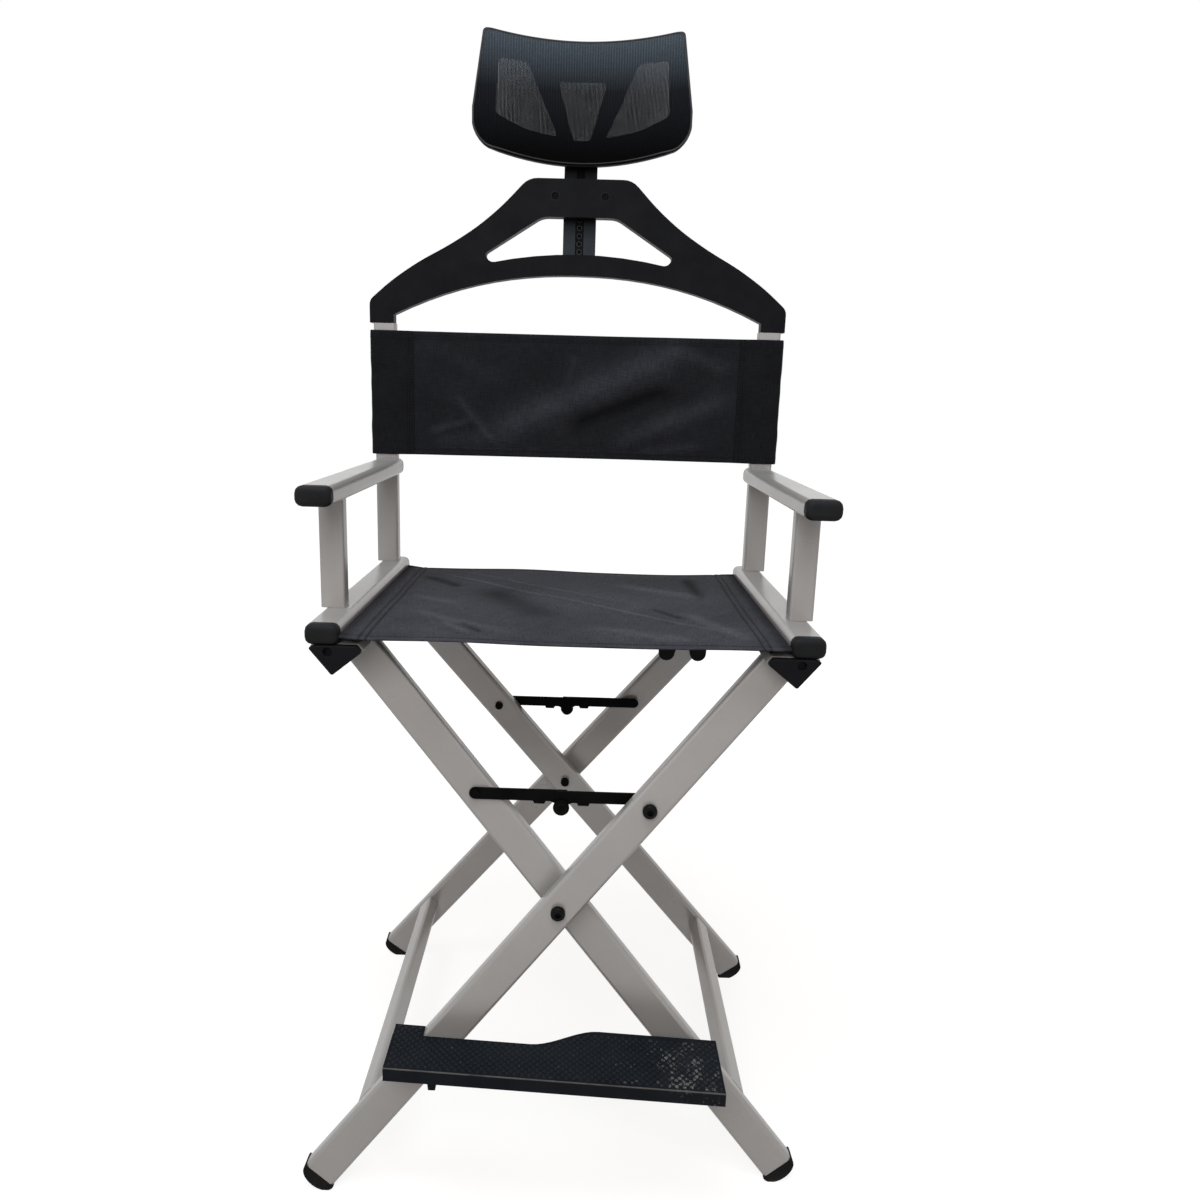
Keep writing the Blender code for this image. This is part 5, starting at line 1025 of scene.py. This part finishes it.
def collars(name, centres, finish, body, radius, thick=0.0006):
    """Round collars that face the front: a small circle carried round a larger one at each centre."""
    turn = np.arange(24)[:, None] * math.pi / 12
    roll = np.arange(8) * math.pi / 4
    reach = radius + thick * np.cos(roll)
    ring = xyz(np.cos(turn) * reach, -thick * np.sin(roll), np.sin(turn) * reach).reshape(1, -1, 3)
    faces = (ring_quads(25, 8) % 192).tolist()
    copies(name, np.array(centres)[:, None, :] + ring, faces, finish, body)


def front_middle(low, high, y):
    """Middle of a box as seen from the front, at a depth."""
    return (low.x + high.x) / 2, y, (low.z + high.z) / 2


def make_bolt_heads():
    """Socket heads on bolts and screws, rings round the knob and screws, and rims round the post's notches in
    pale grey as a painted highlight.
    """
    for end, way in zip(ENDS, (-1, 1)):
        for part in ("crossing_bolt", "brace_bolt"):
            low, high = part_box(f"{end}_{part}")
            face = low.y if way < 0 else high.y
            radius = min(0.0088, (high.z - low.z) / 2)
            centre = front_middle(low, high, face - way * 0.0012)
            socket_head(f"{end}_{part}_head", "outer_legs", centre, way, radius, height=0.0036)
    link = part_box("front_brace_left_link")[0]
    centre = front_middle(*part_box("front_brace_rivet"), link.y + 0.0004)
    socket_head("front_brace_rivet_head", "front_left_link", centre, -1, radius=0.0056, height=0.0012)
    low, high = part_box("front_brace_knob")
    collars("front_brace_knob_ring", [front_middle(low, high, low.y)], BOLT, "front_right_link",
            radius=0.0058, thick=0.0005)
    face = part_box("headrest_hanger")[0].y
    rings = []
    for side in ("left", "right"):
        low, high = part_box(f"hanger_{side}_screw")
        centre = front_middle(low, high, low.y + 0.0006)
        socket_head(f"hanger_{side}_screw_head", "hanger", centre, -1, radius=0.0041, height=0.0012)
        rings.append((centre[0], face + 0.0002, centre[2]))
    collars("hanger_screw_rings", rings, CAP, "hanger", radius=0.0062)
    notches = [(0.0, NOTCH_FLOOR, height) for height in np.arange(NOTCH_LOW, NOTCH_HIGH, NOTCH_PITCH)]
    # Notch rims in the pale grey rim finish: a painted highlight round each notch.
    collars("headrest_post_notch_rims", notches, RIM, "headrest_post", radius=0.0034)


# Stage, light and camera

def seen_ray(tree):
    """1 for rays that show the background: from the camera, in a reflection or through something."""
    path = add_node(tree, "ShaderNodeLightPath").outputs
    shown = maths(tree, "MAXIMUM", path["Is Camera Ray"], path["Is Glossy Ray"])
    return maths(tree, "MAXIMUM", shown, path["Is Transmission Ray"])


def make_floor():
    """Pale round floor that keeps a soft shadow and is white where it is seen."""
    turn = np.arange(96) * 2 * math.pi / 96
    reach = np.array(FLOOR_RINGS)[:, None]
    points = xyz(reach * np.cos(turn), reach * np.sin(turn), FLOOR_LEVEL)
    faces = ring_quads(len(reach), 96).tolist() + [list(range(96))]
    mesh = bpy.data.meshes.new("floor")
    mesh.from_pydata(points.reshape(-1, 3).tolist(), [], faces)
    new_object("floor", mesh)
    material, tree = new_finish("pale_floor", 1.0, 0.0)
    tree.nodes.remove(tree.nodes["Principled BSDF"])
    away = add_node(tree, "ShaderNodeVectorMath", {0: object_place(tree)}, operation="LENGTH").outputs[1]
    fill = ramp(tree, maths(tree, "MULTIPLY", away, 0.5), (0.15, 0.85), (0.75, 1.0))
    plain = add_node(tree, "ShaderNodeBsdfDiffuse", {"Color": (0.32, 0.32, 0.32)}).outputs[0]
    shade = add_node(tree, "ShaderNodeBsdfDiffuse", {"Color": (0.22, 0.22, 0.22)}).outputs[0]
    glow = add_node(tree, "ShaderNodeEmission", {"Color": fill, "Strength": 1.0}).outputs[0]
    seen = add_node(tree, "ShaderNodeAddShader", {0: shade, 1: glow}).outputs[0]
    mix = add_node(tree, "ShaderNodeMixShader", {0: seen_ray(tree), 1: plain, 2: seen}).outputs[0]
    tree.links.new(mix, tree.nodes["Material Output"].inputs["Surface"])
    mesh.materials.append(material)


def make_light():
    """White all round where it is seen, a little warm light, and lamps above, in front and behind."""
    world = bpy.data.worlds.new("studio")
    bpy.context.scene.world = world
    world.use_nodes = True
    tree = world.node_tree
    tree.nodes.clear()
    ambient, white = [
        add_node(tree, "ShaderNodeBackground", {"Color": colour, "Strength": strength}).outputs[0]
        for colour, strength in (((1.0, 0.77, 0.59), 0.25), ((1.0, 1.0, 1.0), 1.0))]
    mix = add_node(tree, "ShaderNodeMixShader", {0: seen_ray(tree), 1: ambient, 2: white}).outputs[0]
    tree.links.new(mix, add_node(tree, "ShaderNodeOutputWorld").inputs["Surface"])
    add_lamp("overhead", (-0.3, -0.8, 2.95), (0.0, 0.05, 0.6), (2.6, 0.8), 43.0, (0.87, 0.955, 1.0))
    key = add_lamp("front_key", (-0.15, -1.40, 1.65), (0.0, 0.0, 0.9), (1.2, 1.0), 18.0, WARM_LIGHT)
    rear = add_lamp("rear_fill", (0.5, 2.6, 1.9), (0.0, 0.1, 0.9), (1.6, 1.2), 12.0, WARM_LIGHT)
    key.visible_glossy = rear.visible_glossy = False


def add_lamp(name, place, target, size, power, colour):
    light = bpy.data.lights.new(name, "AREA")
    light.shape = "ELLIPSE"
    light.size, light.size_y = size
    light.energy = power
    light.color = colour
    lamp = new_object(name, light)
    lamp.location = place
    lamp.rotation_euler = (Vector(target) - Vector(place)).to_track_quat("-Z", "Y").to_euler()
    lamp.visible_camera = False
    return lamp


def make_camera():
    """Camera at the photograph's place, with its turn, fall and roll, and its off-centre frame."""
    ahead = Vector((math.sin(CAMERA_TURN) * math.cos(CAMERA_DOWN),
                    math.cos(CAMERA_TURN) * math.cos(CAMERA_DOWN), -math.sin(CAMERA_DOWN)))
    level = ahead.cross(Vector((0.0, 0.0, 1.0))).normalized()
    upright = level.cross(ahead)
    right = level * math.cos(CAMERA_ROLL) + upright * math.sin(CAMERA_ROLL)
    up = upright * math.cos(CAMERA_ROLL) - level * math.sin(CAMERA_ROLL)
    data = bpy.data.cameras.new("photo_camera")
    data.sensor_fit = "HORIZONTAL"
    data.sensor_width = 36.0
    data.lens = FOCAL_PIXELS / IMAGE_SIZE * data.sensor_width
    data.shift_x = (IMAGE_SIZE / 2 - PRINCIPAL[0]) / IMAGE_SIZE
    data.shift_y = (PRINCIPAL[1] - IMAGE_SIZE / 2) / IMAGE_SIZE
    camera = new_object("photo_camera", data)
    turned = Matrix((right, up, -ahead)).transposed().to_4x4()
    camera.matrix_world = Matrix.Translation(CAMERA_PLACE) @ turned
    bpy.context.scene.camera = camera


bpy.context.scene.view_settings.view_transform = "Standard"
make_camera()
make_floor()
make_light()
finish_frame()
make_seat()
make_back()
make_net()
make_studs()
make_bolt_heads()
